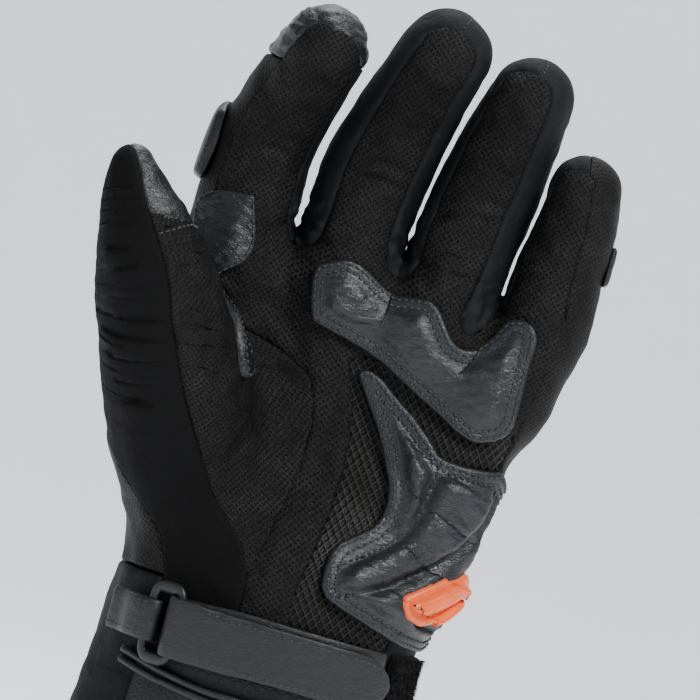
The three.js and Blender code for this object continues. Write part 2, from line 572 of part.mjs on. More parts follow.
// Each band: its rows, how many steps it is cut into along and across, how far it swells between
// the points of a row, and its paint.
const bands = {
  fourchette_index_middle: [fourchette(CROTCHES[0], CAP_WALK.right + END, -END), 26, 3, 0, 'softshell'],
  fourchette_middle_ring: [fourchette(CROTCHES[1], END, -END), 26, 3, 0, 'softshell'],
  fourchette_ring_little: [fourchette(CROTCHES[2], END, -END), 24, 3, 0, 'softshell'],
  index_tip_cap: [spread(CAP_WALK.left, CAP_WALK.right, 8).map(sideRow('index')), 9, 4, 0, 'smooth_leather'],
  little_side_panel: [
    [...spread(END, walkAt('little', 104, 1), 7).map(sideRow('little')), ...[...ulnarRows].reverse()], 18, 3, 1, 'perforated_leather'],
  radial_side_panel: [radialRows, 18, 3, 1, 'perforated_leather'],
  thumb_palm_panel: [thumbPalmRows, 17, 4, 1, 'perforated_leather'],
  thumb_back_panel: [thumbBackRows, 18, 4, 1, 'softshell'],
  cuff_back_panel: [cuffRows(CUFF_SEAMS[1], CUFF_SEAMS[0] + 360, CUFF_TOP), 6, 12, 1, 'softshell'],
};
const trimmers = Object.fromEntries(
  Object.entries(bands).map(([name, [rows, along, wide, swell]]) => [name, trimmer(rows, along, wide, swell)]));
// What is left of a piece beside its neighbours: the largest body, without slivers.
function trimmed(shape, names) {
  return largest(names.flatMap(name => trimmers[name]).reduce((rest, cut) => rest.subtract(cut), shape));
}
const GIVES_WAY = {
  radial_side_panel: ['thumb_back_panel', 'thumb_palm_panel', 'cuff_back_panel'],
  thumb_back_panel: ['thumb_palm_panel', 'cuff_back_panel'],
};
for (const [name, [rows, along, wide, swell, paint]] of Object.entries(bands)) {
  const shape = band(rows, along, wide, swell);
  add(name, GIVES_WAY[name] ? trimmed(solid(shape), GIVES_WAY[name]) : shape, paint);
}

// Palm: one piece of perforated leather, from the strap up the front of every finger
const PALM_VIEW = 24;         // seen from this side, the thumb hides none of it
const palmLoop = [
  ...fingerEdge(frontSeam, ({ notch }) => notch.map(frontOf)),
  ...ULNAR_SEAM.slice(7).reverse().map(([a, u]) => front(a + 1, u)),
  ...[...NET_TOP].reverse().map(frontOf),
  ...[...NET_SEAM].reverse().map(frontOf),
  ...THENAR_SEAM.map(frontOf),
  ...WEB_SEAM.map(([a, u, depth]) => near(a + 1.5, u + 0.5, depth)),
];
const palmShape = (low, high) => {
  const strips = fingersUp.map(name => fingerStrip(name, frontSeam, 1, ROOT[name], low, high));
  return strips.reduce((a, b) => a.add(b), laid(drawnIn(palmLoop, SEAM / 2), PALM_VIEW, low, high));
};
add('palm_panel', trimmed(palmShape(-SHELL, 0), Object.keys(bands)), 'perforated_leather');

// Back of the hand and of every finger, down to the cuff
const backLoop = [
  ...fingerEdge(backSeam, ({ dorsal: [a, u] }) => [[-4, 4], [-2, 2], [0, 0], [2, 2], [4, 4]].map(([s, l]) => back(a + s, u + l))),
  ...ULNAR_BACK.slice(1).reverse().map(backOf),
  ...RADIAL_BACK.map(backOf),
];
const backStrips = fingersUp.map(name => fingerStrip(name, backSeam, -1, ROOT[name] - 6, -SHELL, 0));
const rear = backStrips.reduce((a, b) => a.add(b), laid(backLoop, 180, -SHELL, 0, PANEL_STEP * 1.3));
add('back_panel', trimmed(rear, Object.keys(bands)), 'perforated_leather');

// Grip net let into the heel, under the pads
const netLoop = [
  front(34, -15),
  ...NET_SEAM.map(frontOf),
  ...NET_TOP.map(frontOf),
  ...ULNAR_SEAM.slice(0, 7).reverse().map(([a, u]) => front(a + 1.5, u)),
];
const netShape = (low, high) => laid(drawnIn(netLoop, SEAM / 2), 0, low, high);
add('grip_net', trimmed(netShape(-SHELL, NET - SHELL), ['little_side_panel', 'cuff_back_panel']), 'grip_net');

// A piece that lies on the panels is cut back to just above their faceted surface.
function seated(shape, names) {
  const covers = names.flatMap(name => {
    if (name === 'palm_panel') return [palmShape(-SHELL - TRIM, GAP)];
    if (name === 'grip_net') return [netShape(-SHELL - TRIM, NET - SHELL + GAP)];
    const [rows, along, wide, swell] = bands[name];
    return [solid(band(rows, along, wide, swell, -SHELL - TRIM, GAP)), trimmers[name][0]];
  });
  return largest(covers.reduce((rest, cover) => rest.subtract(cover), shape));
}

// Reinforcements that lie on the palm: outlines as seen from the front, in rows of across and up
const METACARPAL_LOOP = [[-12, 95.5], [-9, 97], [-5, 99], [-1, 98.3], [3, 96], [7, 93.5], [11, 92.5], [16, 93.5], [20, 94], [23, 92],
  [25, 89], [28, 85], [30.5, 83.5], [33.5, 83.5], [36, 85], [39, 88], [42, 94], [45, 95.5], [49, 94.5], [50.8, 91], [50.3, 85],
  [50.3, 68], [49, 64], [46, 61.5], [41, 59.5], [36, 61], [30, 64.5], [22, 68.5], [12, 74], [5, 76.5], [-2, 78.5], [-10, 80.5],
  [-11.4, 85], [-12.8, 92]];
const HEEL_LOOP = [[5.5, 70], [6.5, 71.2], [9, 71.5], [13, 70], [18, 66], [24, 62], [30, 57], [33, 53.5], [38, 53], [44, 53], [50, 54]];
const HEEL_RETURN = [[40, 0.5], [35, 1.5], [25, 5], [18, 7.5], [13, 9.5], [11, 12], [10.5, 17], [11, 22], [13, 25], [17, 28],
  [20, 30.5], [22, 34], [22.5, 38], [21.5, 43], [18.5, 50], [14, 58], [9, 65]];
// Its outer edge lies round the side: rows of across, up and depth
const HEEL_SIDE = [[56, 49, -6], [57, 42, 4], [55, 33, 8], [52, 24, 8], [49, 15, 6], [46, 6, 0], [43, 1.5, -10]];
// The patch in the fork of the thumb, over its neck and down: left and right edges, as across, up and depth
const WEB_ROWS = [
  [[-43, 108, -30], [-33, 110, -45]], [[-46.5, 104, -18], [-30, 103, -50]], [[-46.5, 97, -22], [-28.7, 97, -50]],
  [[-45, 91, -28], [-31, 91.5, -50]], [[-42, 86, -42], [-36.5, 86.5, -52]], [[-39, 82, -60], [-34.5, 83, -58]],
  [[-34.5, 75, -80], [-28, 78, -65]], [[-30, 69, -85], [-22, 74, -65]], [[-25, 64.5, -85], [-18.2, 70, -70]],
  [[-21, 63.5, -82], [-17.6, 66.5, -75]],
];
const NECK = 5;               // the row where its two lobes part over the fork
const webLobe = rows => seated(solid(band(rows.map(row => row.map(nearOf)), 8, 3, 1, 0, SEAT + PATCH)),
  ['palm_panel', 'thumb_palm_panel', 'radial_side_panel']);
add('web_patch', webLobe(WEB_ROWS.slice(0, NECK)), 'smooth_leather');
add('web_patch_tail', webLobe(WEB_ROWS.slice(NECK)), 'smooth_leather');
const metacarpal = laid(METACARPAL_LOOP.map(frontOf), 0, SEAT, SEAT + METACARPAL_PAD, PAD_STEP);
add('metacarpal_pad', seated(metacarpal, ['palm_panel']), 'pad_leather');
const heelLoop = [...HEEL_LOOP.map(frontOf), ...HEEL_SIDE.map(nearOf), ...HEEL_RETURN.map(frontOf)];
const heelView = 32;
const heelPad = laid(heelLoop, heelView, SEAT, SEAT + HEEL_PAD, PAD_STEP);
add('heel_pad', seated(heelPad, ['little_side_panel']), 'pad_leather');

// Sliders on the heel pad: a plate with two raised bars
const ON_PAD = SEAT + HEEL_PAD + GAP;
// Their outlines: rows of degrees round from the palm side, and up
const PLATE = [[51, 12.5], [54, 9.5], [61, 8.2], [71, 10], [79, 14.5], [83, 20], [83, 25.5], [78, 26.8], [70, 23.5], [59, 18.5], [52, 15.2]];
const BARS = [
  [[53, 13], [55, 11.2], [58.5, 11.2], [68, 15.2], [80, 20.4], [82, 24.2], [78, 24.8], [69, 21], [60, 16.8], [54.5, 15]],
  [[61, 9.8], [64.5, 9.4], [71.5, 12.2], [78, 16.2], [79.5, 18.8], [75.5, 17.6], [67, 13]],
];
const SLIDER_VIEW = 66;
const onSlider = (loop, low, high) => laid(loop.map(([angle, u]) => round(angle, u)), SLIDER_VIEW, low, high, PAD_STEP);
const sliderBars = BARS.map(loop => onSlider(loop, ON_PAD + SLIDER_BASE / 2, ON_PAD + SLIDER));
const sliderPlate = onSlider(PLATE, ON_PAD - 1, ON_PAD + SLIDER_BASE);
const heelTop = laid(heelLoop, heelView, 0, ON_PAD, PAD_STEP);
add('palm_slider', sliderBars.reduce((a, b) => a.add(b), sliderPlate).subtract(heelTop), 'slider_plastic');

// Cuff: the front panel under the strap, and a rolled edge round the opening
add('cuff_front_panel', sheet(bandGrid(cuffRows(...CUFF_SEAMS, HAND_END - 1), 5, 7, 1), -SHELL, 0), 'cuff_fabric');
const rings = spread(-100, HEM - 100.4, 2).map(u => spread(0, 360, 25).slice(1).map(angle => round(angle, u)));
add('cuff_binding', sheet(rings, -SHELL - 0.6, 1, true), 'smooth_leather');

// Triangles that fill a convex outline, and ones that fill a ribbon's outline step by step across its
// thickness, so that they follow its bend. Both run the same way round as the outline.
const filled = outline => outline.slice(2).map((_, i) => [0, i + 1, i + 2]);
const acrossIt = outline => outline.slice(outline.length / 2 + 1).flatMap((_, i) => {
  const opposite = outline.length - 1 - i;
  return [[i, i + 1, opposite - 1], [i, opposite - 1, opposite]];
});
// A closed solid through rings of points that all follow one outline, with its two ends filled.
function joined(rings, outline, ends) {
  const count = outline.length;
  const last = (rings.length - 1) * count;
  const id = (i, j) => i * count + j % count;
  const triangles = [];
  for (let i = 0; i < rings.length - 1; i++) {
    for (let j = 0; j < count; j++) {
      triangles.push([id(i, j), id(i, j + 1), id(i + 1, j + 1)], [id(i, j), id(i + 1, j + 1), id(i + 1, j)]);
    }
  }
  for (const [a, b, c] of ends(outline)) triangles.push([a, c, b], [last + a, last + b, last + c]);
  return closed(rings.flat(), triangles);
}
// A ribbon's outline in the plane of across and height, swept up the front of the form.
// Lean is how far it climbs for each step across.
const swept = (outline, heights, lean = 0) =>
  joined(heights.map(u => outline.map(([a, height]) => lifted([a, height], u + lean * a))), outline, acrossIt);
// A ribbon of even thickness round a path of across and height
function ribbon(path, thickness) {
  const edge = side => path.map((p, i) => {
    const [before, after] = [path[Math.max(i - 1, 0)], path[Math.min(i + 1, path.length - 1)]];
    const way = [across(after[0] - before[0]), after[1] - before[1]];
    const length = Math.hypot(...way);
    const off = side * thickness / 2 / length;
    return [p[0] - way[1] * off * 100 / PALM_WIDTH, p[1] + way[0] * off];
  });
  return [...edge(1), ...edge(-1).reverse()];
}

// Wrist strap: it comes from the little finger side, folds round the buckle's bar and comes back
const STRAP_MIDDLE = -8.6;                       // its middle line straight in front, on the up scale
const STRAP_LEAN = -0.033;                       // and how it climbs across
const STRAP_TIP = 30.5;                          // across, where its end starts to round off
const FOLD = [-21.4, 4.5];                       // across and height of the bar in the fold
const FOLD_RADIUS = 2.7;
const LAYER = STRAP * 0.6;                       // one layer of the doubled strap
const LOW = 2.3 * SEAT + LAYER / 2;
const TOP = LOW + LAYER + 1.1;
// A half turn round a bar, from under it to over it
const fold = (middle, radius, side) => spread(-90, 90, 6).map(angle => {
  const turn = THREE.MathUtils.degToRad(angle);
  return [middle[0] + side * radius * Math.cos(turn), middle[1] + radius * Math.sin(turn)];
});
const strapPath = [
  ...spread(22, -16, 8).map(a => [a, LOW]),
  ...fold(FOLD, FOLD_RADIUS, -1),
  [-17, FOLD[1] + FOLD_RADIUS - 0.7], [-12, TOP + 0.8], [-6, TOP], ...spread(0, STRAP_TIP, 6).map(a => [a, TOP]),
];
const strapHalf = STRAP_WIDTH / 2 / CUFF_LENGTH * 100;
const strapBand = swept(ribbon(strapPath, LAYER), spread(STRAP_MIDDLE - strapHalf, STRAP_MIDDLE + strapHalf, 3), STRAP_LEAN);
// Its end is rounded, as seen from the front.
const tipMiddle = STRAP_MIDDLE + STRAP_LEAN * STRAP_TIP;
const strapLoop = [
  [-40, STRAP_MIDDLE + 2 * strapHalf], [STRAP_TIP - 7, STRAP_MIDDLE + 2 * strapHalf],
  ...spread(85, -85, 9).map(angle => {
    const turn = THREE.MathUtils.degToRad(angle);
    return [STRAP_TIP + 1.5 - 8 * (1 - Math.cos(turn)), tipMiddle + strapHalf * 1.02 * Math.sin(turn)];
  }),
  [STRAP_TIP - 7, STRAP_MIDDLE - 2 * strapHalf], [-40, STRAP_MIDDLE - 2 * strapHalf],
].map(([a, u]) => [across(a), 0, up(u)]);
const strap = solid(strapBand).intersect(cutter(strapLoop, 0));
add('wrist_strap', seated(strap, ['palm_panel', 'thumb_back_panel', 'grip_net']), 'pad_leather');

// Buckle: a flat ring whose upright bars lie in the strap's fold and in the leather loop's
const TAB_BAR = [FOLD[0] - (BUCKLE_WIDTH - BUCKLE_BAR) * 0.94, FOLD[1]];
const RING_MIDDLE = STRAP_MIDDLE + STRAP_LEAN * FOLD[0];
const bars = [TAB_BAR, FOLD].map(bar => lifted(bar, RING_MIDDLE));
const ringSide = unit([bars[1][0] - bars[0][0], bars[1][1] - bars[0][1], 0]);
const ringOut = [ringSide[1], -ringSide[0], 0];
const ringMiddle = [...mix(bars[0], bars[1], 0.5).slice(0, 2), up(RING_MIDDLE)];
function box(path, width, height) {
  const [x, y] = [width / 2, height / 2];
  path.moveTo(-x, -y);
  for (const corner of [[x, -y], [x, y], [-x, y], [-x, -y]]) path.lineTo(...corner);
  return path;
}
const ring = box(new THREE.Shape(), BUCKLE_WIDTH, BUCKLE_HEIGHT);
ring.holes.push(box(new THREE.Path(), BUCKLE_WIDTH - 2 * BUCKLE_BAR, BUCKLE_HEIGHT - 2 * BUCKLE_BAR));
const ringThickness = BUCKLE_BAR * 0.8;
const ringGeometry = new THREE.ExtrudeGeometry(ring, { depth: ringThickness, bevelEnabled: false });
ringGeometry.translate(0, 0, -ringThickness / 2);
const ringBasis = new THREE.Matrix4().makeBasis(new THREE.Vector3(...ringSide), new THREE.Vector3(0, 0, 1), new THREE.Vector3(...ringOut));
ringGeometry.applyMatrix4(ringBasis.setPosition(...ringMiddle));
add('strap_buckle', solid(ringGeometry), 'buckle_metal');

// The leather loop that holds the buckle's other bar
const TAB_WIDTH = 11;
const tabPath = [
  [TAB_BAR[0] - 8.5, LOW], [TAB_BAR[0] - 5.5, LOW], [TAB_BAR[0] - 3, LOW],
  ...fold(TAB_BAR, FOLD_RADIUS, 1),
  [TAB_BAR[0] - 3.2, TOP + 1.6], [TAB_BAR[0] - 6, TOP], [TAB_BAR[0] - 9, TOP - 0.2],
];
const tabHalf = TAB_WIDTH / 2 / CUFF_LENGTH * 100;
add('buckle_tab', swept(ribbon(tabPath, TAB * 0.6), spread(RING_MIDDLE - tabHalf, RING_MIDDLE + tabHalf, 2)), 'pad_leather');

// Fuzzy patch that the strap's end can be stuck to: rows of degrees round from the palm side, and up
const PILE_LOOP = [[59, -15.4], [72, -15.4], [92, -15], [92, -1.4], [70, -1], [59, -1]];
add('loop_patch', laid(PILE_LOOP.map(([angle, u]) => round(angle, u)), 70, SEAT, SEAT + PILE, PAD_STEP), 'loop_pile');

// Two welts over the front cuff panel, in a shallow sag
const WELT_DROPS = [0, 2.7];
const WELT_SIDES = 6;
const weltAngles = spread(0, 360, WELT_SIDES + 1).slice(1).map(THREE.MathUtils.degToRad);
const weltOutline = weltAngles.map(turn => [WELT * Math.cos(turn), SEAT + WELT * (1 + Math.sin(turn))]);
WELT_DROPS.forEach((drop, i) => {
  const rings = spread(-35, 33, 15).map(a => weltOutline.map(([lift, height]) =>
    lifted([a, height], lift - 23 - drop + 6 * ((a - 2) / 40) ** 2)));
  add(`cuff_welt_${i + 1}`, joined(rings, weltOutline, filled), 'smooth_leather');
});

// Knuckle plates on the outer fingers, of which the palm side shows only the edges
const INDEX_PLATE = [[-51, 111, -14], [-51, 110, 32], [-49, 120, 42], [-46, 131, 32], [-45.5, 133, 12], [-47, 130, -8], [-50, 120, -18]];
const LITTLE_PLATE = [[66, 110, -12], [66, 110, 20], [66, 121.5, 18], [65, 121.5, -14]];
add('index_knuckle_plate', laid(INDEX_PLATE.map(nearOf), -95, SEAT, SEAT + KNUCKLE, PAD_STEP), 'smooth_leather');
add('little_knuckle_plate', laid(LITTLE_PLATE.map(nearOf), 95, SEAT, SEAT + KNUCKLE / 2, PAD_STEP), 'smooth_leather');

export default glove;
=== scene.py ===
"""A left-hand motorcycle gauntlet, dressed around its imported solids.

Every panel is a two-parameter surface on one form, the shape of the gloved hand: a smooth union of
tapered limbs. Lengths are in millimetres until a mesh is made. The palm faces -Y, the fingers point up.
"""
import math

import bpy
import numpy as np
from mathutils import Matrix, Vector


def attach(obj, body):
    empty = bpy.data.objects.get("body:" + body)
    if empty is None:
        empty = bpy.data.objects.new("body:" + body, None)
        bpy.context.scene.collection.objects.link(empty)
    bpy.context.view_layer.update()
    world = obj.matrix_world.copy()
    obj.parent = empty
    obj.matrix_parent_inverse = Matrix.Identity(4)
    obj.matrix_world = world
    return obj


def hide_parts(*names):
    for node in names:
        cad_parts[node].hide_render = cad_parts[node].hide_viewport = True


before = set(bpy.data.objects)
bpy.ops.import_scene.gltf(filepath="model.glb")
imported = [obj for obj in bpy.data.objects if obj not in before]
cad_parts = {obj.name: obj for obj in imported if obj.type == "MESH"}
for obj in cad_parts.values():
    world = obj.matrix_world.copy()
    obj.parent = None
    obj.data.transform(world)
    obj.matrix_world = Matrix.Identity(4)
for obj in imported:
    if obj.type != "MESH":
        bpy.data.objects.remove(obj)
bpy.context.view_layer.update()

# Sizes of the hand
CUFF_LENGTH, CUFF_WIDTH = 100, 108
PALM_THICKNESS, FINGER_WIDTH, THUMB_WIDTH = 36, 30, 36
PALM_BLEND, ROOT_BLEND, THUMB_BLEND = 14, 7, 10
LIMB_STEPS = 4
REACH = 260
FORM_BLOCK, LINE_BLOCK = 6000, 4000
# Thicknesses and heights
SHELL, SEAT, GAP, TUCK = 1.7, 0.7, 0.35, 0.9
HEEL_PAD, METACARPAL_PAD, PATCH = 4.2, 2.4, 1.5
SLIDER, SLIDER_BASE, PILE, KNUCKLE = 3.6, 1.2, 2.2, 1.8
STRAP_WIDTH, STRAP_LAYER, TAB_WIDTH, TAB_LAYER = 15.5, 1.44, 11, 1.3
WELT = 1.1
STITCH_PITCH, STITCH_LENGTH, THREAD = 1.9, 1.45, 0.3

# Limbs: rows of across and up, then depth and radius as percent of the limb's girth
FINGERS = {
    "index": [[-36.5, 88, 0, 47], [-36, 105, 4, 47.5], [-35, 125, 8, 46], [-30.5, 140, -16, 43],
              [-25.5, 152.6, -56, 39.5]],
    "middle": [[-6, 88, 4, 47], [-5, 110, 8, 48.5], [-3.4, 125, 8, 50], [1.6, 145, -24, 45],
               [6.6, 159, -72, 41.5]],
    "ring": [[24, 86, 2, 46], [25, 110, 6, 47.5], [27.3, 125, 6, 48.5], [29.5, 139, -18, 44.5],
             [32, 153.4, -64, 38.5]],
    "little": [[46.5, 74, -6, 43], [51.5, 95, -4, 43.5], [52.3, 110, -4, 41], [53.6, 124, -14, 36.5],
               [53, 133.4, -32, 33.5]],
}
THUMB = [[-21, 10, -6, 46], [-27, 25, -20, 55], [-34.5, 40, -42, 58], [-43.5, 60, -76, 53],
         [-50.5, 76, -100, 47], [-57, 90, -118, 37], [-62.5, 100, -126, 26], [-65.5, 107, -128, 17]]
PALM_RAYS = [
    [[-34, 85, 6, 45], [-27, 50, 6, 49], [-13, 3, 0, 73]],
    [[-5, 86, 10, 46], [-4, 50, 8, 50], [-3, 3, 0, 77]],
    [[22, 84, 8, 45.5], [16, 50, 6, 50], [5, 3, 0, 77]],
    [[43.5, 74, -2, 36], [33.5, 45, -8, 46], [12.5, 3, 0, 72]],
]
FOREARM = [
    [[-11, 3, 0, 25.5], [-15, -12, 0, 27], [-15, -40, 0, 30], [-14, -100, 0, 37], [-14, -150, 0, 43]],
    [[0, 3, 0, 25.5], [0, -12, 0, 27], [0, -40, 0, 30], [0, -100, 0, 37], [0, -150, 0, 43]],
    [[8.5, 3, 0, 25], [8.5, -12, 0, 25.4], [12, -40, 0, 29.5], [14, -100, 0, 37], [14, -150, 0, 43]],
]
# Seams of a finger: shares of its radius from its middle line
FRONT_SEAMS = {
    "index": dict(left_root=0.62, left_tip=0.58, tip=0.38, right_tip=0.93, right_root=0.84),
    "middle": dict(left_root=0.5, left_tip=0.56, tip=0.48, right_tip=0.68, right_root=0.68),
    "ring": dict(left_root=0.73, left_tip=0.82, tip=0.46, right_tip=0.44, right_root=0.52),
    "little": dict(left_root=0.92, left_tip=0.92, tip=0.45, right_tip=0.1, right_root=0.42),
}
BACK_SEAM = dict(left_root=0.62, left_tip=0.58, tip=0.5, right_tip=0.58, right_root=0.62)
TIP_TURN = 0.24
# Finger crotches: front notch as across and up, a height where the fingers stand apart, back notch
CROTCHES = [
    dict(left="index", right="middle", open=113, parting=106, dorsal=[-20.5, 92],
         notch=[[-23.6, 107], [-21.5, 101], [-18.3, 99.3], [-15.6, 100.7], [-13.2, 106]]),
    dict(left="middle", right="ring", open=115, parting=106, dorsal=[10, 92],
         notch=[[5.2, 107], [6.5, 101], [9.6, 97.8], [12.2, 99.5], [14, 106]]),
    dict(left="ring", right="little", open=107, parting=104, dorsal=[37, 84],
         notch=[[30.4, 98], [29.6, 91], [32, 87.3], [35.5, 90], [38.4, 97]]),
]
# Seams read from the front: rows of across and up
THENAR_SEAM = [[-9, -15], [-9, 13], [-7.5, 18], [-5.5, 25], [-4.2, 33], [-2.4, 42], [-2, 51], [-3.2, 59],
               [-6, 65], [-12, 68.4], [-19, 72]]
BALL_SEAM = [[-9, -15], [-9, 13], [-13, 18], [-20, 25], [-26, 33], [-31, 42], [-36, 51], [-40.5, 60],
             [-42.5, 65], [-44.5, 70], [-46, 74.5], [-47.6, 79], [-49.5, 83], [-51.5, 86.5], [-53.5, 90],
             [-56, 94], [-58.5, 98], [-61, 102]]
NET_SEAM = [[4, -15], [4, 10], [6, 20], [7.6, 32], [8.2, 43], [7.6, 53], [6, 61], [3.5, 68], [2, 72.5]]
NET_TOP = [[6, 76], [22, 74], [38, 66], [52.6, 64.5]]
ULNAR_SEAM = [[34.5, 4], [36, 10], [40, 20], [44.5, 33], [48, 45], [50.5, 54], [51.8, 62], [52.4, 70],
              [54, 77], [55.6, 86], [57, 97]]
ULNAR_BACK = [[32, 4], [33, 10], [35, 20], [39, 33], [42.5, 45], [44.5, 54], [46, 62], [47.5, 70], [50, 77],
              [53, 86], [55, 97]]
RADIAL_BACK = [[-30.5, 4], [-32, 14], [-34, 24], [-36.5, 35], [-38.5, 48], [-40, 60], [-41, 70], [-41.5, 78],
               [-42, 86], [-42.5, 92], [-43, 99]]
# Seams that the thumb hides: rows of across, up and depth as percent of the palm's thickness
WEB_SEAM = [[-27, 77, -50], [-34, 82.5, -45], [-41, 87, -38], [-46.5, 90, -25]]
BEHIND_THUMB = [[-55, 51, -16], [-51, 62, -8], [-49.5, 74, -10], [-49.5, 84, -18]]
RADIAL_FRONT = [[-30.5, 4, -80], [-37, 14, -75], [-44, 23, -70], [-49.5, 32, -62], [-56, 42, -42]]
HAND_END, CUFF_TOP = -15, 3.5
# Reinforcements on the palm
METACARPAL_LOOP = [[-12, 95.5], [-9, 97], [-5, 99], [-1, 98.3], [3, 96], [7, 93.5], [11, 92.5],
                   [16, 93.5], [20, 94], [23, 92], [25, 89], [28, 85], [30.5, 83.5], [33.5, 83.5],
                   [36, 85], [39, 88], [42, 94], [45, 95.5], [49, 94.5], [50.8, 91], [50.3, 85],
                   [50.3, 68], [49, 64], [46, 61.5], [41, 59.5], [36, 61], [30, 64.5], [22, 68.5],
                   [12, 74], [5, 76.5], [-2, 78.5], [-10, 80.5], [-11.4, 85], [-12.8, 92]]
HEEL_LOOP = [[5.5, 70], [6.5, 71.2], [9, 71.5], [13, 70], [18, 66], [24, 62], [30, 57], [33, 53.5],
             [38, 53], [44, 53], [50, 54]]
HEEL_SIDE = [[56, 49, -6], [57, 42, 4], [55, 33, 8], [52, 24, 8], [49, 15, 6], [46, 6, 0], [43, 1.5, -10]]
HEEL_RETURN = [[40, 0.5], [35, 1.5], [25, 5], [18, 7.5], [13, 9.5], [11, 12], [10.5, 17], [11, 22],
               [13, 25], [17, 28], [20, 30.5], [22, 34], [22.5, 38], [21.5, 43], [18.5, 50], [14, 58],
               [9, 65]]
HEEL_CHANNELS = [
    [[33.4, 53], [32.8, 45], [31.5, 38], [29, 32], [25, 27], [19, 22], [12.5, 17.5]],
    [[49.4, 51], [47.8, 44], [46, 38], [43, 32], [38, 26], [33, 21], [27, 16], [20, 12.5], [14.5, 10.5]],
]
SLIDER_SEAT = [[47.5, 26.5], [44, 21.5], [39, 16.5], [35.3, 13.6], [34.4, 11], [36.2, 8.6], [40.5, 7.4]]
WEB_ROWS = [
    [[-43, 108, -30], [-33, 110, -45]], [[-46.5, 104, -18], [-30, 103, -50]],
    [[-46.5, 97, -22], [-28.7, 97, -50]], [[-45, 91, -28], [-31, 91.5, -50]],
    [[-42, 86, -42], [-36.5, 86.5, -52]], [[-39, 82, -60], [-34.5, 83, -58]],
    [[-34.5, 75, -80], [-26, 78, -62]], [[-31, 68, -88], [-19.5, 74.5, -62]],
    [[-27, 62.5, -88], [-16.5, 69.5, -68]], [[-22, 61, -86], [-17, 64.5, -78]],
]
# Round the wrist: rows of degrees from the palm side, and up
PLATE = [[51, 12.5], [54, 9.5], [61, 8.2], [71, 10], [79, 14.5], [83, 20], [83, 25.5], [78, 26.8], [70, 23.5],
         [59, 18.5], [52, 15.2]]
BARS = [
    [[53, 13], [55, 11.2], [58.5, 11.2], [68, 15.2], [80, 20.4], [82, 24.2], [78, 24.8], [69, 21], [60, 16.8],
     [54.5, 15]],
    [[61, 9.8], [64.5, 9.4], [71.5, 12.2], [78, 16.2], [79.5, 18.8], [75.5, 17.6], [67, 13]],
]
PILE_LOOP = [[59, -15.4], [72, -15.4], [92, -15], [92, -1.4], [70, -1], [59, -1]]
INDEX_PLATE = [[-51, 111, -14], [-51, 110, 32], [-49, 120, 42], [-46, 131, 32], [-45.5, 133, 12],
               [-47, 130, -8], [-50, 120, -18]]
LITTLE_PLATE = [[66, 110, -12], [66, 110, 20], [66, 121.5, 18], [65, 121.5, -14]]


def up(share):
    """Height of a share: 0 is the wrist line, -100 the cuff's opening, 100 the first finger crotch."""
    share = np.asarray(share, float)
    return np.where(share < 0, CUFF_LENGTH * (1 + share / 100), CUFF_LENGTH + share)


def length_of(v):
    """Length of each vector: the root of the sum of its squares."""
    return np.sqrt((v * v).sum(-1))


def unit(v):
    """Each vector divided by its length."""
    return v / np.maximum(length_of(v), 1e-9)[..., None]


def through(rows, t):
    """Catmull-Rom curve through rows of any shape, at shares t from the first row to the last."""
    rows = np.asarray(rows, float)
    place = np.clip(np.atleast_1d(t), 0, 1) * (len(rows) - 1)
    i = np.minimum(place.astype(int), len(rows) - 2)
    f = (place - i).reshape((-1,) + (1,) * (rows.ndim - 1))
    p0, p1, p2, p3 = (rows[np.clip(i + k, 0, len(rows) - 1)] for k in (-1, 0, 1, 2))
    return p1 + f * (p2 - p0 + f * (2 * p0 - 5 * p1 + 4 * p2 - p3 + f * (3 * (p1 - p2) + p3 - p0))) / 2


def limb(girth, rows):
    """A limb's middle line as x, y, z and radius, cut finer along the curve through its rows."""
    placed = np.array([[a, d / 100 * girth, up(u), r / 100 * girth] for a, u, d, r in rows], float)
    return through(placed, np.linspace(0, 1, (len(rows) - 1) * LIMB_STEPS + 1))


fingers = {name: limb(FINGER_WIDTH, rows) for name, rows in FINGERS.items()}
thumb = limb(THUMB_WIDTH, THUMB)
palm_limbs = [limb(PALM_THICKNESS, rows) for rows in PALM_RAYS] + [limb(CUFF_WIDTH, rows) for rows in FOREARM]


def from_limb(rows, p):
    """Distance to a chain of tapered capsules, length(p - nearest) - radius there, and the way out."""
    a, ab = rows[:-1, :3], rows[1:, :3] - rows[:-1, :3]
    t = (p @ ab.T - (a * ab).sum(1)) / (ab * ab).sum(1)
    t = np.clip(t, 0, 1)
    out = p[:, None] - a - t[..., None] * ab
    reach = np.sqrt(np.einsum("nsk,nsk->ns", out, out))
    d = reach - rows[:-1, 3] - t * (rows[1:, 3] - rows[:-1, 3])
    best = d.argmin(1)
    n = np.arange(len(p))
    return d[n, best], out[n, best] / np.maximum(reach[n, best], 1e-9)[:, None]


def blended(a, b, width):
    """Smooth union: with h = clamp(1/2 + (b - a)/2w), the distance is b + (a - b)h - wh(1 - h)."""
    h = np.clip(0.5 + (b[0] - a[0]) / (2 * width), 0, 1)
    return b[0] + (a[0] - b[0]) * h - width * h * (1 - h), b[1] + (a[1] - b[1]) * h[:, None]


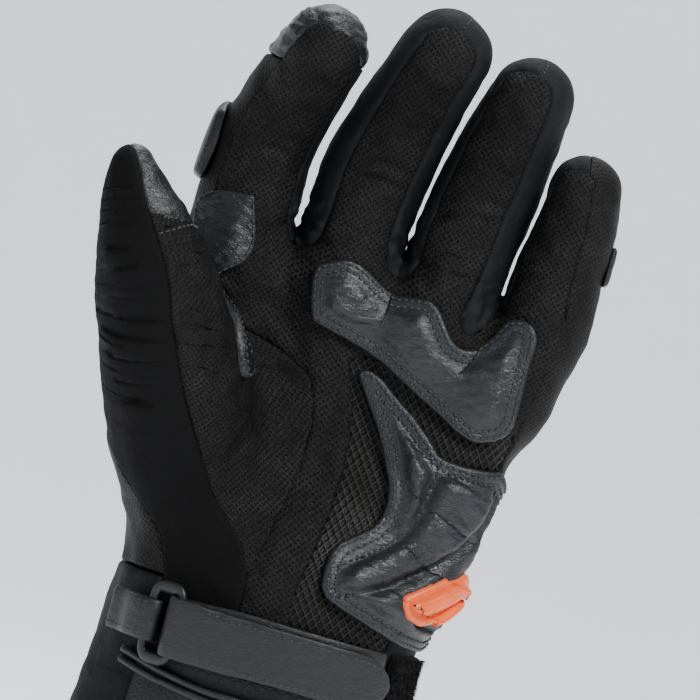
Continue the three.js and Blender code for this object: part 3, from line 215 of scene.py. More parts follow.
def form(p):
    """Distance from points to the gloved hand, and the way out of it, in blocks that fit the cache."""
    flat = np.asarray(p, float).reshape(-1, 3)
    far, way = np.empty(len(flat)), np.empty((len(flat), 3))
    for start in range(0, len(flat), FORM_BLOCK):
        q = flat[start:start + FORM_BLOCK]
        palm = from_limb(palm_limbs[0], q)
        for rows in palm_limbs[1:]:
            palm = blended(palm, from_limb(rows, q), PALM_BLEND)
        found = [from_limb(rows, q) for rows in fingers.values()]
        nearest = np.array([d for d, _ in found]).argmin(0)
        n = np.arange(len(q))
        finger = np.array([d for d, _ in found])[nearest, n], np.array([g for _, g in found])[nearest, n]
        hand = blended(blended(palm, finger, ROOT_BLEND), from_limb(thumb, q), THUMB_BLEND)
        far[start:start + FORM_BLOCK], way[start:start + FORM_BLOCK] = hand
    return far.reshape(np.shape(p)[:-1]), way.reshape(np.shape(p))


def outward(p):
    """The way out of the form at points, with a length of 1."""
    return unit(form(p)[1])


def settle(p, rounds=7):
    """Moves points on to the form: p becomes p - distance x way / way squared, again and again."""
    at = np.array(p, float)
    for _ in range(rounds):
        d, g = form(at)
        at -= (np.clip(d, -12, 12) / np.maximum((g * g).sum(-1), 0.3))[..., None] * g
    return at


def cast(start, way):
    """Where rays from points along ways meet the form, or where they pass nearest, settled on it."""
    shape = np.broadcast(start, way).shape
    start = np.array(np.broadcast_to(start, shape), float).reshape(-1, 3)
    way = np.array(np.broadcast_to(way, shape), float).reshape(-1, 3)
    gone, least, nearest = np.zeros(len(start)), np.full(len(start), 1e9), start.copy()
    live = np.arange(len(start))
    for _ in range(90):
        at = start[live] + way[live] * gone[live, None]
        d = form(at)[0]
        closer = d < least[live]
        least[live[closer]], nearest[live[closer]] = d[closer], at[closer]
        gone[live] += np.maximum(d * 0.8, 0.05)
        live = live[(d > 0.02) & (gone[live] < 2 * REACH)]
        if not len(live):
            break
    return settle(nearest).reshape(shape)


def facing(a, u, way):
    """Where rays along Y, at across and up, meet the form: way 1 comes from the palm side, -1 from behind."""
    a, u = np.broadcast_arrays(np.asarray(a, float), np.asarray(u, float))
    return cast(np.stack([a, np.full(a.shape, -way * REACH), up(u)], -1), [0, way, 0])


def front(a, u):
    """Points on the palm side at across and up."""
    return facing(a, u, 1)


def back(a, u):
    """Points on the back of the hand at across and up."""
    return facing(a, u, -1)


def near(rows):
    """Points on the form nearest to rows of across, up and percent of the palm's thickness."""
    rows = np.asarray(rows, float)
    return settle(np.stack([rows[..., 0], rows[..., 2] / 100 * PALM_THICKNESS, up(rows[..., 1])], -1), 12)


def round_wrist(angle, u):
    """Points round the wrist or the cuff: 0 degrees faces the palm side, 90 the little finger side."""
    angle, u = np.broadcast_arrays(np.radians(angle), np.asarray(u, float))
    out = np.stack([np.sin(angle), -np.cos(angle), 0 * angle], -1)
    return cast(np.stack([0 * angle, 0 * angle, up(u)], -1) + out * REACH, -out)


def frontal(rows):
    """Points on the palm side for rows of across and up."""
    return front(*np.asarray(rows, float).T)


def dorsal(rows):
    """Points on the back of the hand for rows of across and up."""
    return back(*np.asarray(rows, float).T)


def walk(name, w):
    """A finger's outline from -1 at its left root over 0 at the tip to 1 at its right root:
    middle point, way out to the side, radius, share of the middle line, turn round the tip, side."""
    w = np.atleast_1d(np.asarray(w, float))
    rows, side, away = fingers[name], np.where(w < 0, -1.0, 1.0), np.abs(w)
    t = np.where(away < TIP_TURN, 1, 1 - (away - TIP_TURN) / (1 - TIP_TURN))
    at = through(rows, t)
    along = unit((through(rows, t + 0.04) - through(rows, t - 0.04))[:, [0, 2]])
    turn = np.minimum(away / TIP_TURN, 1) * math.pi / 2
    out = np.stack([along[:, 0] * np.cos(turn) + side * along[:, 1] * np.sin(turn), 0 * turn,
                    along[:, 1] * np.cos(turn) - side * along[:, 0] * np.sin(turn)], -1)
    return at[:, :3], out, at[:, 3], t, turn, side


def seam_point(name, w, seams, way, grown=0.0):
    """A seam of a finger, cast on to the form: its middle line moved aside by a share of the radius. The share
    is the tip's, and goes to the side's with the square of the sine of the turn."""
    centre, out, radius, t, turn, side = walk(name, w)
    root = np.where(side < 0, seams["left_root"], seams["right_root"])
    tip = np.where(side < 0, seams["left_tip"], seams["right_tip"])
    share = seams["tip"] + (root + (tip - root) * t - seams["tip"]) * np.sin(turn) ** 2
    at = centre + out * (radius * share + grown)[:, None]
    at[:, 1] = -way * REACH
    return cast(at, [0, way, 0])


def front_seam(name, w, grown=0.0):
    """A finger's seam on the palm side, at walks along its outline."""
    return seam_point(name, w, FRONT_SEAMS[name], 1, grown)


def back_seam(name, w, grown=0.0):
    """A finger's seam on the back of the hand, at walks along its outline."""
    return seam_point(name, w, BACK_SEAM, -1, grown)


def rim_point(name, w):
    """A finger's outermost line at walks: the middle point plus the radius, on the form."""
    centre, out, radius = walk(name, w)[:3]
    return settle(centre + out * radius[:, None])


def walk_at(name, share, side):
    """The walk on one side where the middle line is at a height, by halving."""
    low, high = TIP_TURN, 1.0
    for _ in range(30):
        middle = (low + high) / 2
        if walk(name, side * middle)[0][0, 2] > up(share):
            low = middle
        else:
            high = middle
    return side * low


def side_rows(name, walks):
    """Rows of front seam, rim and back seam along a finger's side."""
    return np.stack([front_seam(name, walks), rim_point(name, walks), back_seam(name, walks)], 1)


def fourchette_rows(crotch, from_tip, to_tip):
    """Rows of a strip between fingers: down one side, round the fork from front to back, up the other side."""
    down = side_rows(crotch["left"], np.linspace(from_tip, walk_at(crotch["left"], crotch["open"], 1), 9))
    climb = side_rows(crotch["right"], np.linspace(walk_at(crotch["right"], crotch["open"], -1), to_tip, 9))
    rear, parting = crotch["dorsal"], crotch["parting"]
    sides = [rim_point(name, walk_at(name, parting, side))
             for name, side in ((crotch["left"], 1), (crotch["right"], -1))]
    bottom = cast((sides[0] + sides[1])[0] / 2, [0, 0, -1])
    aside = np.array([-1, -0.5, 0, 0.5, 1])
    lift = np.abs(aside) * 4
    middle = settle(bottom + np.stack([aside * 1.2, 0 * aside, lift], -1), 12)
    turn = np.stack([frontal(crotch["notch"]), middle, back(rear[0] + aside * 4, rear[1] + lift)], 1)
    return np.concatenate([down, turn, climb])


def thumb_around(share, angle, lean=90):
    """Round the thumb at a height: 0 degrees faces the palm side, 90 the palm; a lean of 0 is on top
    of its tip."""
    t = np.linspace(0, 1, 600)
    low = t[np.abs(through(thumb, t)[:, 2] - up(share)).argmin()]
    at = through(thumb, low)[0]
    along = unit(through(thumb, low + 0.03)[0, :3] - through(thumb, low - 0.03)[0, :3])
    side = unit(np.array([along[2], 0, -along[0]]))
    ahead = np.array([-side[2] * along[1], side[2] * along[0] - side[0] * along[2], side[0] * along[1]])
    turn, tilt = math.radians(angle), math.radians(lean)
    out = ahead * math.cos(turn) + side * math.sin(turn)
    return settle(at[:3] + (out * math.sin(tilt) + along * math.cos(tilt)) * at[3], 12)


def ripple(p, size, seed, count=22):
    """Sum of plane waves in random directions, with wavelengths near the size; about -1 to 1."""
    rng = np.random.default_rng(seed)
    ways = unit(rng.normal(size=(count, 3))) * (2 * math.pi / (size * rng.uniform(0.6, 1.7, count)))[:, None]
    return np.sin(np.asarray(p) @ ways.T + rng.uniform(0, 6.28, count)).sum(-1) * math.sqrt(1.2 / count)


def ease(x):
    """Smooth step from 0 at 0 to 1 at 1: x squared times 3 - 2x."""
    x = np.clip(x, 0, 1)
    return x * x * (3 - 2 * x)


def dome(x):
    """Quarter circle from 0 at 0 to 1 at 1."""
    return np.sqrt(1 - (1 - np.clip(x, 0, 1)) ** 2)


def in_scene(name, data):
    """A new object in the scene, for a mesh, a camera or a lamp."""
    item = bpy.data.objects.new(name, data)
    bpy.context.scene.collection.objects.link(item)
    return item


def make(name, shape, paints, nodes=(), kinds=None):
    """Makes one piece from a shape: points in millimetres, quads, and mostly a place on the flat cut per
    point. Its faces are turned to point out. paints are its materials, kinds which of them each face has."""
    points, faces, *lay = shape
    tri = points[faces]
    volume = np.einsum("ij,ij->", tri[:, 0], np.cross(tri[:, 1], tri[:, 2]) + np.cross(tri[:, 2], tri[:, 3]))
    if volume < 0:
        faces = faces[:, ::-1]
    mesh = bpy.data.meshes.new(name)
    mesh.vertices.add(len(points))
    mesh.vertices.foreach_set("co", (points / 1000).astype(np.float32).ravel())
    mesh.loops.add(faces.size)
    mesh.loops.foreach_set("vertex_index", faces.astype(np.int32).ravel())
    mesh.polygons.add(len(faces))
    mesh.polygons.foreach_set("loop_start", np.arange(0, faces.size, 4, dtype=np.int32))
    mesh.update(calc_edges=True)
    mesh.polygons.foreach_set("use_smooth", np.ones(len(faces), bool))
    if kinds is not None:
        mesh.polygons.foreach_set("material_index", kinds.astype(np.int32))
    if lay:
        layer = mesh.uv_layers.new(name="lay")
        layer.uv.foreach_set("vector", lay[0][faces.ravel()].astype(np.float32).ravel())
    mesh.validate()
    piece = in_scene(name, mesh)
    for paint in paints if isinstance(paints, (list, tuple)) else [paints]:
        mesh.materials.append(paint)
    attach(piece, "root")
    if nodes:
        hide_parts(*nodes)
    return piece


def walled(top, low, quads):
    """Closes a sheet: its quads on top, the same turned over below, and a wall along each open edge."""
    count = len(top)
    edges = np.concatenate([quads[:, [k, (k + 1) % 4]] for k in range(4)])
    key = edges.min(1) * count + edges.max(1)
    _, where, uses = np.unique(key, return_index=True, return_counts=True)
    a, b = edges[where[uses == 1]].T
    wall = np.stack([b, a, a + count, b + count], 1)
    return np.concatenate([top, low]), np.concatenate([quads, quads[:, ::-1] + count, wall])


def grid_quads(rows, columns, looped=False):
    """Quads between neighbouring rows and columns of a grid; looped joins its last column to its first."""
    i, j = np.meshgrid(np.arange(rows - 1), np.arange(columns if looped else columns - 1), indexing="ij")
    i, j, k = i.ravel(), j.ravel(), (j.ravel() + 1) % columns
    return np.stack([i * columns + j, i * columns + k, (i + 1) * columns + k, (i + 1) * columns + j], 1)


def tube_quads(rings, sides):
    """Quads of a tube: between neighbouring rings, and a fan of quads over each end."""
    fan = np.array([[0, k, k + 1, k + 2] for k in range(1, sides - 2, 2)])
    return np.concatenate([grid_quads(rings, sides, True), fan[:, ::-1], fan + (rings - 1) * sides])


def hoop_quads(rings, sides):
    """Quads of a tube whose last ring meets its first."""
    return grid_quads(rings + 1, sides, True) % (rings * sides)


def laid_out(across, along):
    """Places on the flat cut from across and along, which broadcast against each other."""
    return np.stack(np.broadcast_arrays(across, along), -1).reshape(-1, 2)


def run_of(path):
    """Running length along a path, 0 at its start."""
    return np.concatenate([[0], length_of(np.diff(path, axis=0)).cumsum()])


def read_at(at, run, values):
    """Values along a path, read in between its points at running lengths."""
    return np.stack([np.interp(at, run, column) for column in values.T], -1)


def powered(v, power):
    """The sign of v times its size to a power, which squares a circle's corners below 1."""
    return np.sign(v) * np.abs(v) ** power


def grid_lay(grid):
    """Place of each grid point on the flat cut: running lengths across and along, in millimetres."""
    wide = np.concatenate([np.zeros((len(grid), 1)), length_of(np.diff(grid, axis=1)).cumsum(1)], 1)
    along = np.concatenate([np.zeros((1, grid.shape[1])), length_of(np.diff(grid, axis=0)).cumsum(0)])
    return np.stack([wide - wide[:, -1:] / 2, np.broadcast_to(along.mean(1)[:, None], wide.shape)], -1)


def band_grid(rows, along, wide, swell=1.0, grow=0.5):
    """A band's points on the form: its rows splined along, and across each row from edge to edge
    along the chords with an outward bulge of swell x f(1 - f) x chord, grown past its edges."""
    at = through(rows, np.linspace(0, 1, along + 1))
    ways = outward(at)
    chords = length_of(np.diff(at, axis=1))
    cut = np.clip(-grow / np.maximum(chords.sum(1), 1), -0.2, 0.2)[:, None]
    place = (cut + (1 - 2 * cut) * np.linspace(0, 1, wide + 1)) * (at.shape[1] - 1)
    k = np.clip(place.astype(int), 0, at.shape[1] - 2)
    f = place - k
    n = np.arange(along + 1)[:, None]
    bulge = swell * f * (1 - f) * chords[n, k]
    way = unit(ways[n, k] + (ways[n, k + 1] - ways[n, k]) * f[..., None])
    return settle(at[n, k] + (at[n, k + 1] - at[n, k]) * f[..., None] + way * bulge[..., None])


def from_edges(grid, ends=(True, True)):
    """How far each grid point is from the band's nearer edge, in millimetres; ends count where told."""
    lay = grid_lay(grid)
    side = np.minimum(lay[..., 0] - lay[:, :1, 0], lay[:, -1:, 0] - lay[..., 0])
    for end, use in zip((lay[..., 1], lay[-1:, :, 1] - lay[..., 1]), ends):
        if use:
            side = np.minimum(side, end)
    return side


def tucked(distance, depth=TUCK, width=1.5):
    """Height of a panel near a seam: it rolls down by the depth over the width."""
    return -depth * (1 - dome(distance / width))


def sheet(grid, height, low, lay):
    """A grid on the form, raised by a height along the ways out and closed by a lower wall at low."""
    ways = outward(grid)
    top, under = (grid + ways * height[..., None]).reshape(-1, 3), (grid + ways * low).reshape(-1, 3)
    points, faces = walled(top, under, grid_quads(*grid.shape[:2]))
    lay = lay.reshape(-1, 2)
    return points, faces, np.concatenate([lay, lay])


def band_piece(name, grid, height, paints, nodes, kinds=None, low=-SHELL):
    """Makes a piece from a band's grid; kinds are the materials of its upper faces."""
    shape = sheet(grid, height, low, grid_lay(grid))
    if kinds is not None:
        kinds = np.concatenate([kinds, kinds, np.zeros(len(shape[1]) - 2 * len(kinds), int)])
    return make(name, shape, paints, nodes, kinds)


def seen(points, azimuth):
    """Where points lie as seen from an azimuth: to the side, and up."""
    turn = math.radians(azimuth)
    return np.stack([points[..., 0] * math.cos(turn) + points[..., 1] * math.sin(turn), points[..., 2]], -1)


def outline(points, azimuth, soften=1.0, spacing=0.5, closed=True):
    """A seen outline cut into even short steps, its corners softened by a running Gaussian mean."""
    loop = seen(np.asarray(points), azimuth)
    if closed:
        loop = np.concatenate([loop, loop[:1]])
    run = run_of(loop)
    count = max(int(run[-1] / spacing), 8)
    fine = read_at(np.linspace(0, run[-1], count, endpoint=not closed), run, loop)
    half = int(3 * soften / spacing)
    if not half:
        return fine
    weights = np.exp(-((np.arange(-half, half + 1) * spacing / soften) ** 2) / 2)
    weights /= weights.sum()
    padded = np.concatenate([fine[-half:], fine, fine[:half]]) if closed else np.concatenate(
        [2 * fine[:1] - fine[half:0:-1], fine, 2 * fine[-1:] - fine[-2:-half - 2:-1]])
    return np.stack([np.convolve(padded[:, k], weights, "valid") for k in (0, 1)], -1)


def to_outline(p, loop):
    """Distance inside a closed loop (below 0 outside it) and the nearest point on it."""
    a, ab = loop, np.roll(loop, -1, 0) - loop
    best, spot = np.full(len(p), 1e9), p.copy()
    inside = np.zeros(len(p), bool)
    for start in range(0, len(p), LINE_BLOCK):
        q = p[start:start + LINE_BLOCK]
        t = np.clip((q @ ab.T - (a * ab).sum(1)) / np.maximum((ab * ab).sum(1), 1e-12), 0, 1)
        at = a + t[..., None] * ab
        d = length_of(q[:, None] - at)
        k = d.argmin(1)
        n = np.arange(len(q))
        best[start:start + LINE_BLOCK], spot[start:start + LINE_BLOCK] = d[n, k], at[n, k]
        y0, y1 = a[:, 1], a[:, 1] + ab[:, 1]
        over = (y0 > q[:, 1:]) != (y1 > q[:, 1:])
        x = a[:, 0] + (q[:, 1:] - y0) / np.where(ab[:, 1] == 0, 1e-12, ab[:, 1]) * ab[:, 0]
        inside[start:start + LINE_BLOCK] = (over & (q[:, :1] < x)).sum(1) % 2 == 1
    return np.where(inside, best, -best), spot


def to_line(p, line):
    """Distance from points to an open line of short steps."""
    blocks = np.array_split(p, len(p) // LINE_BLOCK + 1)
    return np.concatenate([length_of(q[:, None] - line).min(1) for q in blocks])


def clipped(loop, step):
    """A square grid cut to a loop: points just outside it are drawn on to it, the rest left out."""
    low, high = loop.min(0) - step, loop.max(0) + step
    size = np.ceil((high - low) / step).astype(int) + 1
    x, y = np.meshgrid(low[0] + np.arange(size[0]) * step, low[1] + np.arange(size[1]) * step)
    p = np.stack([x.ravel(), y.ravel()], -1)
    quads = grid_quads(size[1], size[0])
    depth, spot = to_outline(p, loop)
    quads = quads[(depth[quads] > 0).any(1)]
    edge = depth <= 0
    p[edge], depth[edge] = spot[edge], 0
    used, inverse = np.unique(quads, return_inverse=True)
    return p[used], depth[used], inverse.reshape(quads.shape)


def lay_on(flat, azimuth):
    """Casts seen places on to the form from an azimuth."""
    turn = math.radians(azimuth)
    right = np.array([math.cos(turn), math.sin(turn), 0])
    look = np.array([-math.sin(turn), math.cos(turn), 0])
    start = flat[:, :1] * right + flat[:, 1:] * np.array([0, 0, 1.0]) - look * REACH
    return cast(start, look)


def laid_sheet(loop, azimuth, step, height, low):
    """A closed sheet on the form inside a seen loop. height takes seen places, distances from the edge
    and the points on the form, and gives the top's height over the form."""
    flat, depth, quads = clipped(loop, step)
    base = lay_on(flat, azimuth)
    ways = outward(base)
    top = base + ways * height(flat, depth, base)[:, None]
    points, faces = walled(top, base + ways * low, quads)
    return points, faces, np.concatenate([flat, flat])


def several(parts):
    """Several closed shells as one mesh: points, faces and places run on."""
    starts = np.cumsum([0] + [len(p) for p, _, _ in parts[:-1]])
    moved = [faces + start for (_, faces, _), start in zip(parts, starts)]
    points, lays = [p for p, _, _ in parts], [u for _, _, u in parts]
    return np.concatenate(points), np.concatenate(moved), np.concatenate(lays)


def tube(path, sides, across_way, radius_a, radius_b):
    """An ellipse of radii a and b carried along a path, closed at both ends; across_way is the way of a."""
    along = unit(np.gradient(path, axis=0))
    a = unit(across_way - (across_way * along).sum(-1, keepdims=True) * along)
    b = np.cross(along, a)
    turn = np.arange(sides) * 2 * math.pi / sides
    ra, rb = (np.broadcast_to(np.asarray(r, float), len(path))[:, None, None] for r in (radius_a, radius_b))
    rings = path[:, None] + a[:, None] * np.cos(turn)[:, None] * ra + b[:, None] * np.sin(turn)[:, None] * rb
    lay = laid_out(np.arange(sides) / sides * 6.0, np.arange(len(path))[:, None] * 0.5)
    return rings.reshape(-1, 3), tube_quads(len(path), sides), lay


def stitches(path, ways, pitch=STITCH_PITCH, reach=STITCH_LENGTH, thread=THREAD):
    """A row of stitches along a path: each a short capsule of six sides whose ends dive into the leather."""
    run = run_of(path)
    at = np.arange(pitch / 2, run[-1], pitch)
    spot, way = read_at(at, run, path), unit(read_at(at, run, ways))
    ahead = unit(read_at(at + 0.3, run, path) - read_at(at - 0.3, run, path))
    aside = unit(np.cross(ahead, way))
    share = np.array([-1, -0.8, -0.35, 0.35, 0.8, 1])
    girth = np.array([0.3, 0.8, 1, 1, 0.8, 0.3]) * thread
    sink = np.array([-1.3, -0.45, 0.15, 0.15, -0.45, -1.3]) * thread
    turn = np.arange(6) * math.pi / 3
    ring = (np.cos(turn)[:, None, None] * aside + np.sin(turn)[:, None, None] * way)
    points = (spot + share[:, None, None, None] * ahead * reach / 2 + sink[:, None, None, None] * way
              + girth[:, None, None, None] * ring[None])
    points = points.transpose(2, 0, 1, 3).reshape(-1, 3)
    faces = (tube_quads(6, 6) + np.arange(len(spot))[:, None, None] * 36).reshape(-1, 4)
    return points, faces, np.zeros((len(points), 2))


def sewn(points, height, **how):
    """A row of stitches along points on the form, at a height over it."""
    ways = outward(points)
    return stitches(points + ways * height, ways, **how)


def stitched_on(line, azimuth, height, **how):
    """A row of stitches along a seen line, at a height over the form."""
    return sewn(lay_on(line, azimuth), height, **how)


def drawn_in(loop, distance):
    """A closed seen loop moved inwards, then evened out."""
    way = np.roll(loop, -3, 0) - np.roll(loop, 3, 0)
    area = (loop[:, 0] * np.roll(loop[:, 1], -1) - np.roll(loop[:, 0], -1) * loop[:, 1]).sum()
    normal = unit(np.stack([-way[:, 1], way[:, 0]], -1)) * np.sign(area)
    moved = loop + normal * distance
    depth = to_outline(moved, loop)[0]
    moved = moved[depth > distance * 0.93]
    return np.concatenate([moved, moved[:1]])


# Finishes

def shader(name, colour, roughness, **settings):
    """A material with one principled shader; its even values sit on the shader's own sockets."""
    material = bpy.data.materials.new(name)
    material.use_nodes = True
    body = material.node_tree.nodes["Principled BSDF"]
    body.inputs["Base Color"].default_value = (*colour, 1)
    body.inputs["Roughness"].default_value = roughness
    for socket, value in settings.items():
        body.inputs[socket.replace("_", " ")].default_value = value
    return material, body


def add(material, kind, links=(), **values):
    """A node of a kind: links join its inputs to other sockets, values set its settings."""
    node = material.node_tree.nodes.new(kind)
    for key, value in values.items():
        setattr(node, key, value)
    for socket, source in dict(links).items():
        if isinstance(source, bpy.types.NodeSocket):
            material.node_tree.links.new(source, node.inputs[socket])
        else:
            node.inputs[socket].default_value = source
    return node


def place(material, on_cut=False, scale=(1, 1, 1), turn=0.0, shift=(0, 0, 0)):
    """Coordinates in millimetres: on the object, or on the flat cut of the piece."""
    where = add(material, "ShaderNodeTexCoord").outputs["UV" if on_cut else "Object"]
    size = 1 if on_cut else 1000
    links = {"Vector": where, "Scale": [s * size for s in scale], "Location": shift}
    laid = add(material, "ShaderNodeMapping", links).outputs[0]
    if not turn:
        return laid
    return add(material, "ShaderNodeMapping", {"Vector": laid, "Rotation": (0, 0, turn)}).outputs[0]


def noise(material, where, size, detail=3, distortion=0.0):
    """Soft noise whose blots are about a size in millimetres."""
    return add(material, "ShaderNodeTexNoise", {"Vector": where, "Scale": 1 / size, "Detail": detail,
                                                "Distortion": distortion}).outputs["Fac"]


def cells(material, where, size, feature="DISTANCE_TO_EDGE", **how):
    """A node of random cells of about a size, for the distance to their edges or to their middles."""
    return add(material, "ShaderNodeTexVoronoi", {"Vector": where, "Scale": 1 / size}, feature=feature, **how)


def spread(material, value, low, high, to_low=0.0, to_high=1.0):
    """A value stretched from one range to another, and kept in it."""
    return add(material, "ShaderNodeMapRange", {"Value": value, "From Min": low, "From Max": high,
                                                "To Min": to_low, "To Max": to_high}).outputs[0]


def maths(material, operation, *values):
    """One sum of numbers, such as a product, of sockets and plain values."""
    return add(material, "ShaderNodeMath", dict(enumerate(values)), operation=operation).outputs[0]


def vectors(material, operation, *values, **named):
    """One sum of vectors, of sockets and plain values."""
    links = {**dict(enumerate(values)), **named}
    return add(material, "ShaderNodeVectorMath", links, operation=operation).outputs[0]


def relief(material, body, layers):
    """Bump layers on a shader: pairs of a height socket and its depth in millimetres."""
    normal = None
    for height, depth in layers:
        links = {"Height": height, "Distance": depth / 1000, "Strength": 1.0}
        if normal is not None:
            links["Normal"] = normal
        normal = add(material, "ShaderNodeBump", links).outputs[0]
    material.node_tree.links.new(normal, body.inputs["Normal"])


def tint(material, body, value, stops, socket="Base Color"):
    """Colours a shader's socket by a value: stops are pairs of a place and a colour."""
    ramp = add(material, "ShaderNodeValToRGB", {"Fac": value})
    elements = ramp.color_ramp.elements
    for _ in stops[2:]:
        elements.new(0.5)
    for k, (at, colour) in enumerate(stops):
        elements[k].position, elements[k].color = at, (*colour, 1)
    material.node_tree.links.new(ramp.outputs[0], body.inputs[socket])


def leather(name, dark, light, roughness, crease, grain=0.75, fold=3.2):
    """Grained leather: small cells, longer creases between them, and painted shade in the cells' edges and the
    creases.
    """
    material, body = shader(name, light, roughness, Specular_IOR_Level=0.42)
    where = place(material)
    stir = add(material, "ShaderNodeTexNoise", {"Vector": where, "Scale": 0.4, "Detail": 2}).outputs["Color"]
    bent = vectors(material, "ADD", where, vectors(material, "SCALE", stir, Scale=2.2))
    pebble = spread(material, cells(material, bent, grain).outputs["Distance"], 0.0, 0.22)
    stretched = add(material, "ShaderNodeMapping", {"Vector": bent, "Scale": (0.55, 1, 1.5),
                                                    "Rotation": (0.2, 0.5, 0.1)}).outputs[0]
    crack = spread(material, cells(material, stretched, fold * 0.62).outputs["Distance"], 0.0, 0.16)
    swell = noise(material, stretched, fold, 4, 0.6)
    # Painted shade: the colour darkens at the grain cells' edges and along the creases, the hollows of the
    # bump.
    wear_and_painted_shade = spread(material, pebble, 0, 1, 0.6, 1.0)
    painted_grain_shade = maths(material, "MULTIPLY", wear_and_painted_shade, spread(material, crack, 0, 1, 0.5, 1.0))
    tint(material, body, painted_grain_shade, [(0.0, dark), (0.75, light)])
    tone = spread(material, noise(material, where, 14, 2), 0.3, 0.7, roughness - 0.06, roughness + 0.07)
    material.node_tree.links.new(tone, body.inputs["Roughness"])
    relief(material, body, [(swell, 0.55 * crease), (crack, 0.1 * crease), (pebble, 0.035)])
    return material


def perforated(name):
    """Goatskin with rows of fine holes: round dots on a turned square lattice over a pebbled ground, with
    painted shade at the pebbles' edges and a painted glint in their middles.
    """
    material, body = shader(name, (0.01, 0.0095, 0.009), 0.55, Specular_IOR_Level=0.16)
    cut = place(material, True, turn=0.78)
    dots = cells(material, cut, HOLE_PITCH, "F1").outputs["Distance"].node
    dots.inputs["Randomness"].default_value = 0.12
    hole = spread(material, dots.outputs["Distance"], 0.2, 0.36)
    where = place(material)
    pebble = spread(material, cells(material, where, 0.6).outputs["Distance"], 0.0, 0.25)
    wear_and_painted_shade = noise(material, where, 9, 3)
    # Holes near black; the pebbles carry painted shade at their edges and a painted glint in their middles.
    painted_glint_and_holes = maths(material, "MULTIPLY", hole, spread(material, pebble, 0, 1, 0.45, 1.0))
    tone = maths(material, "MULTIPLY", painted_glint_and_holes, spread(material, wear_and_painted_shade, 0.3, 0.7, 0.55, 1.0))
    tint(material, body, tone, [(0.0, (0.0006, 0.0006, 0.0006)), (0.5, (0.004, 0.0038, 0.0035)),
                                (1.0, (0.018, 0.017, 0.0158))])
    relief(material, body, [(noise(material, where, 4.5, 3, 0.5), 0.6), (hole, 0.3), (pebble, 0.09)])
    return material


def cloth(name, colour, light, roughness, size=0.5, depth=0.12, **settings):
    """Matt cloth: a fine weave of crossed waves with a soft noise over it."""
    material, body = shader(name, colour, roughness, **settings)
    where = place(material)
    weave = noise(material, where, size, 2)
    soft = noise(material, where, 6, 3, 0.4)
    tint(material, body, maths(material, "MULTIPLY", weave, spread(material, soft, 0.3, 0.7, 0.6, 1.2)),
         [(0.2, colour), (0.75, light)])
    relief(material, body, [(soft, 0.8), (weave, depth)])
    return material


def netting(name):
    """Grip net: crossed bars round diamond openings, on the flat cut."""
    material, body = shader(name, (0.015, 0.015, 0.015), 0.5, Specular_IOR_Level=0.2)
    cut = place(material, True, scale=(1 / NET_CELL[0], 1 / NET_CELL[1], 1), turn=math.pi / 4)
    lattice = cells(material, cut, math.sqrt(0.5), "F1", distance="CHEBYCHEV")
    lattice.inputs["Randomness"].default_value = 0.0
    bar = spread(material, lattice.outputs["Distance"], 0.27, 0.4)
    grain = noise(material, place(material), 0.5, 2)
    tone = maths(material, "MULTIPLY", bar, spread(material, grain, 0.3, 0.7, 0.7, 1.1))
    tint(material, body, tone, [(0.0, (0.0004, 0.0004, 0.0004)), (1.0, (0.016, 0.015, 0.0135))])
    relief(material, body, [(bar, 0.5), (grain, 0.06)])
    return material


def printed(name):
    """Cuff cloth with a print of rings in a honeycomb: distance to the nearer of two lattices."""
    material, body = shader(name, (0.012, 0.013, 0.016), 0.72)
    root = math.sqrt(3)
    fields = []
    scale = (1 / RING_PITCH, 1 / RING_PITCH / root, 0)
    for shift in (0.0, 0.5):
        part = vectors(material, "FRACTION", place(material, True, scale=scale, shift=(shift, shift, 0)))
        part = vectors(material, "ADD", part, (-0.5, -0.5, 0))
        part = vectors(material, "MULTIPLY", part, (1, root, 0))
        fields.append(add(material, "ShaderNodeVectorMath", {0: part}, operation="LENGTH").outputs["Value"])
    nearest = maths(material, "MINIMUM", *fields)
    from_ring = maths(material, "ABSOLUTE", maths(material, "SUBTRACT", nearest, RING_RADIUS))
    ring = maths(material, "SUBTRACT", 1.0, spread(material, from_ring, 0.03, 0.08))
    weave = noise(material, place(material), 0.5, 2)
    tint(material, body, maths(material, "MULTIPLY", ring, weave),
         [(0.0, (0.0025, 0.0028, 0.0034)), (0.6, (0.012, 0.013, 0.015))])
    relief(material, body, [(ring, 0.12), (weave, 0.1)])
    return material


def moulded(name, colour, roughness, metal=0.0, size=0.35, depth=0.02):
    """Moulded plastic or lacquered metal: an even colour with a very fine grain and faint marks."""
    material, body = shader(name, colour, roughness, Metallic=metal, Specular_IOR_Level=0.45)
    where = place(material)
    fine = noise(material, where, size, 2)
    tone = spread(material, noise(material, where, 5, 3), 0.3, 0.7, roughness - 0.07, roughness + 0.1)
    material.node_tree.links.new(tone, body.inputs["Roughness"])
    darker = tuple(c * 0.86 for c in colour)
    tint(material, body, noise(material, where, 3, 3), [(0.3, darker), (0.7, colour)])
    relief(material, body, [(fine, depth)])
    return material


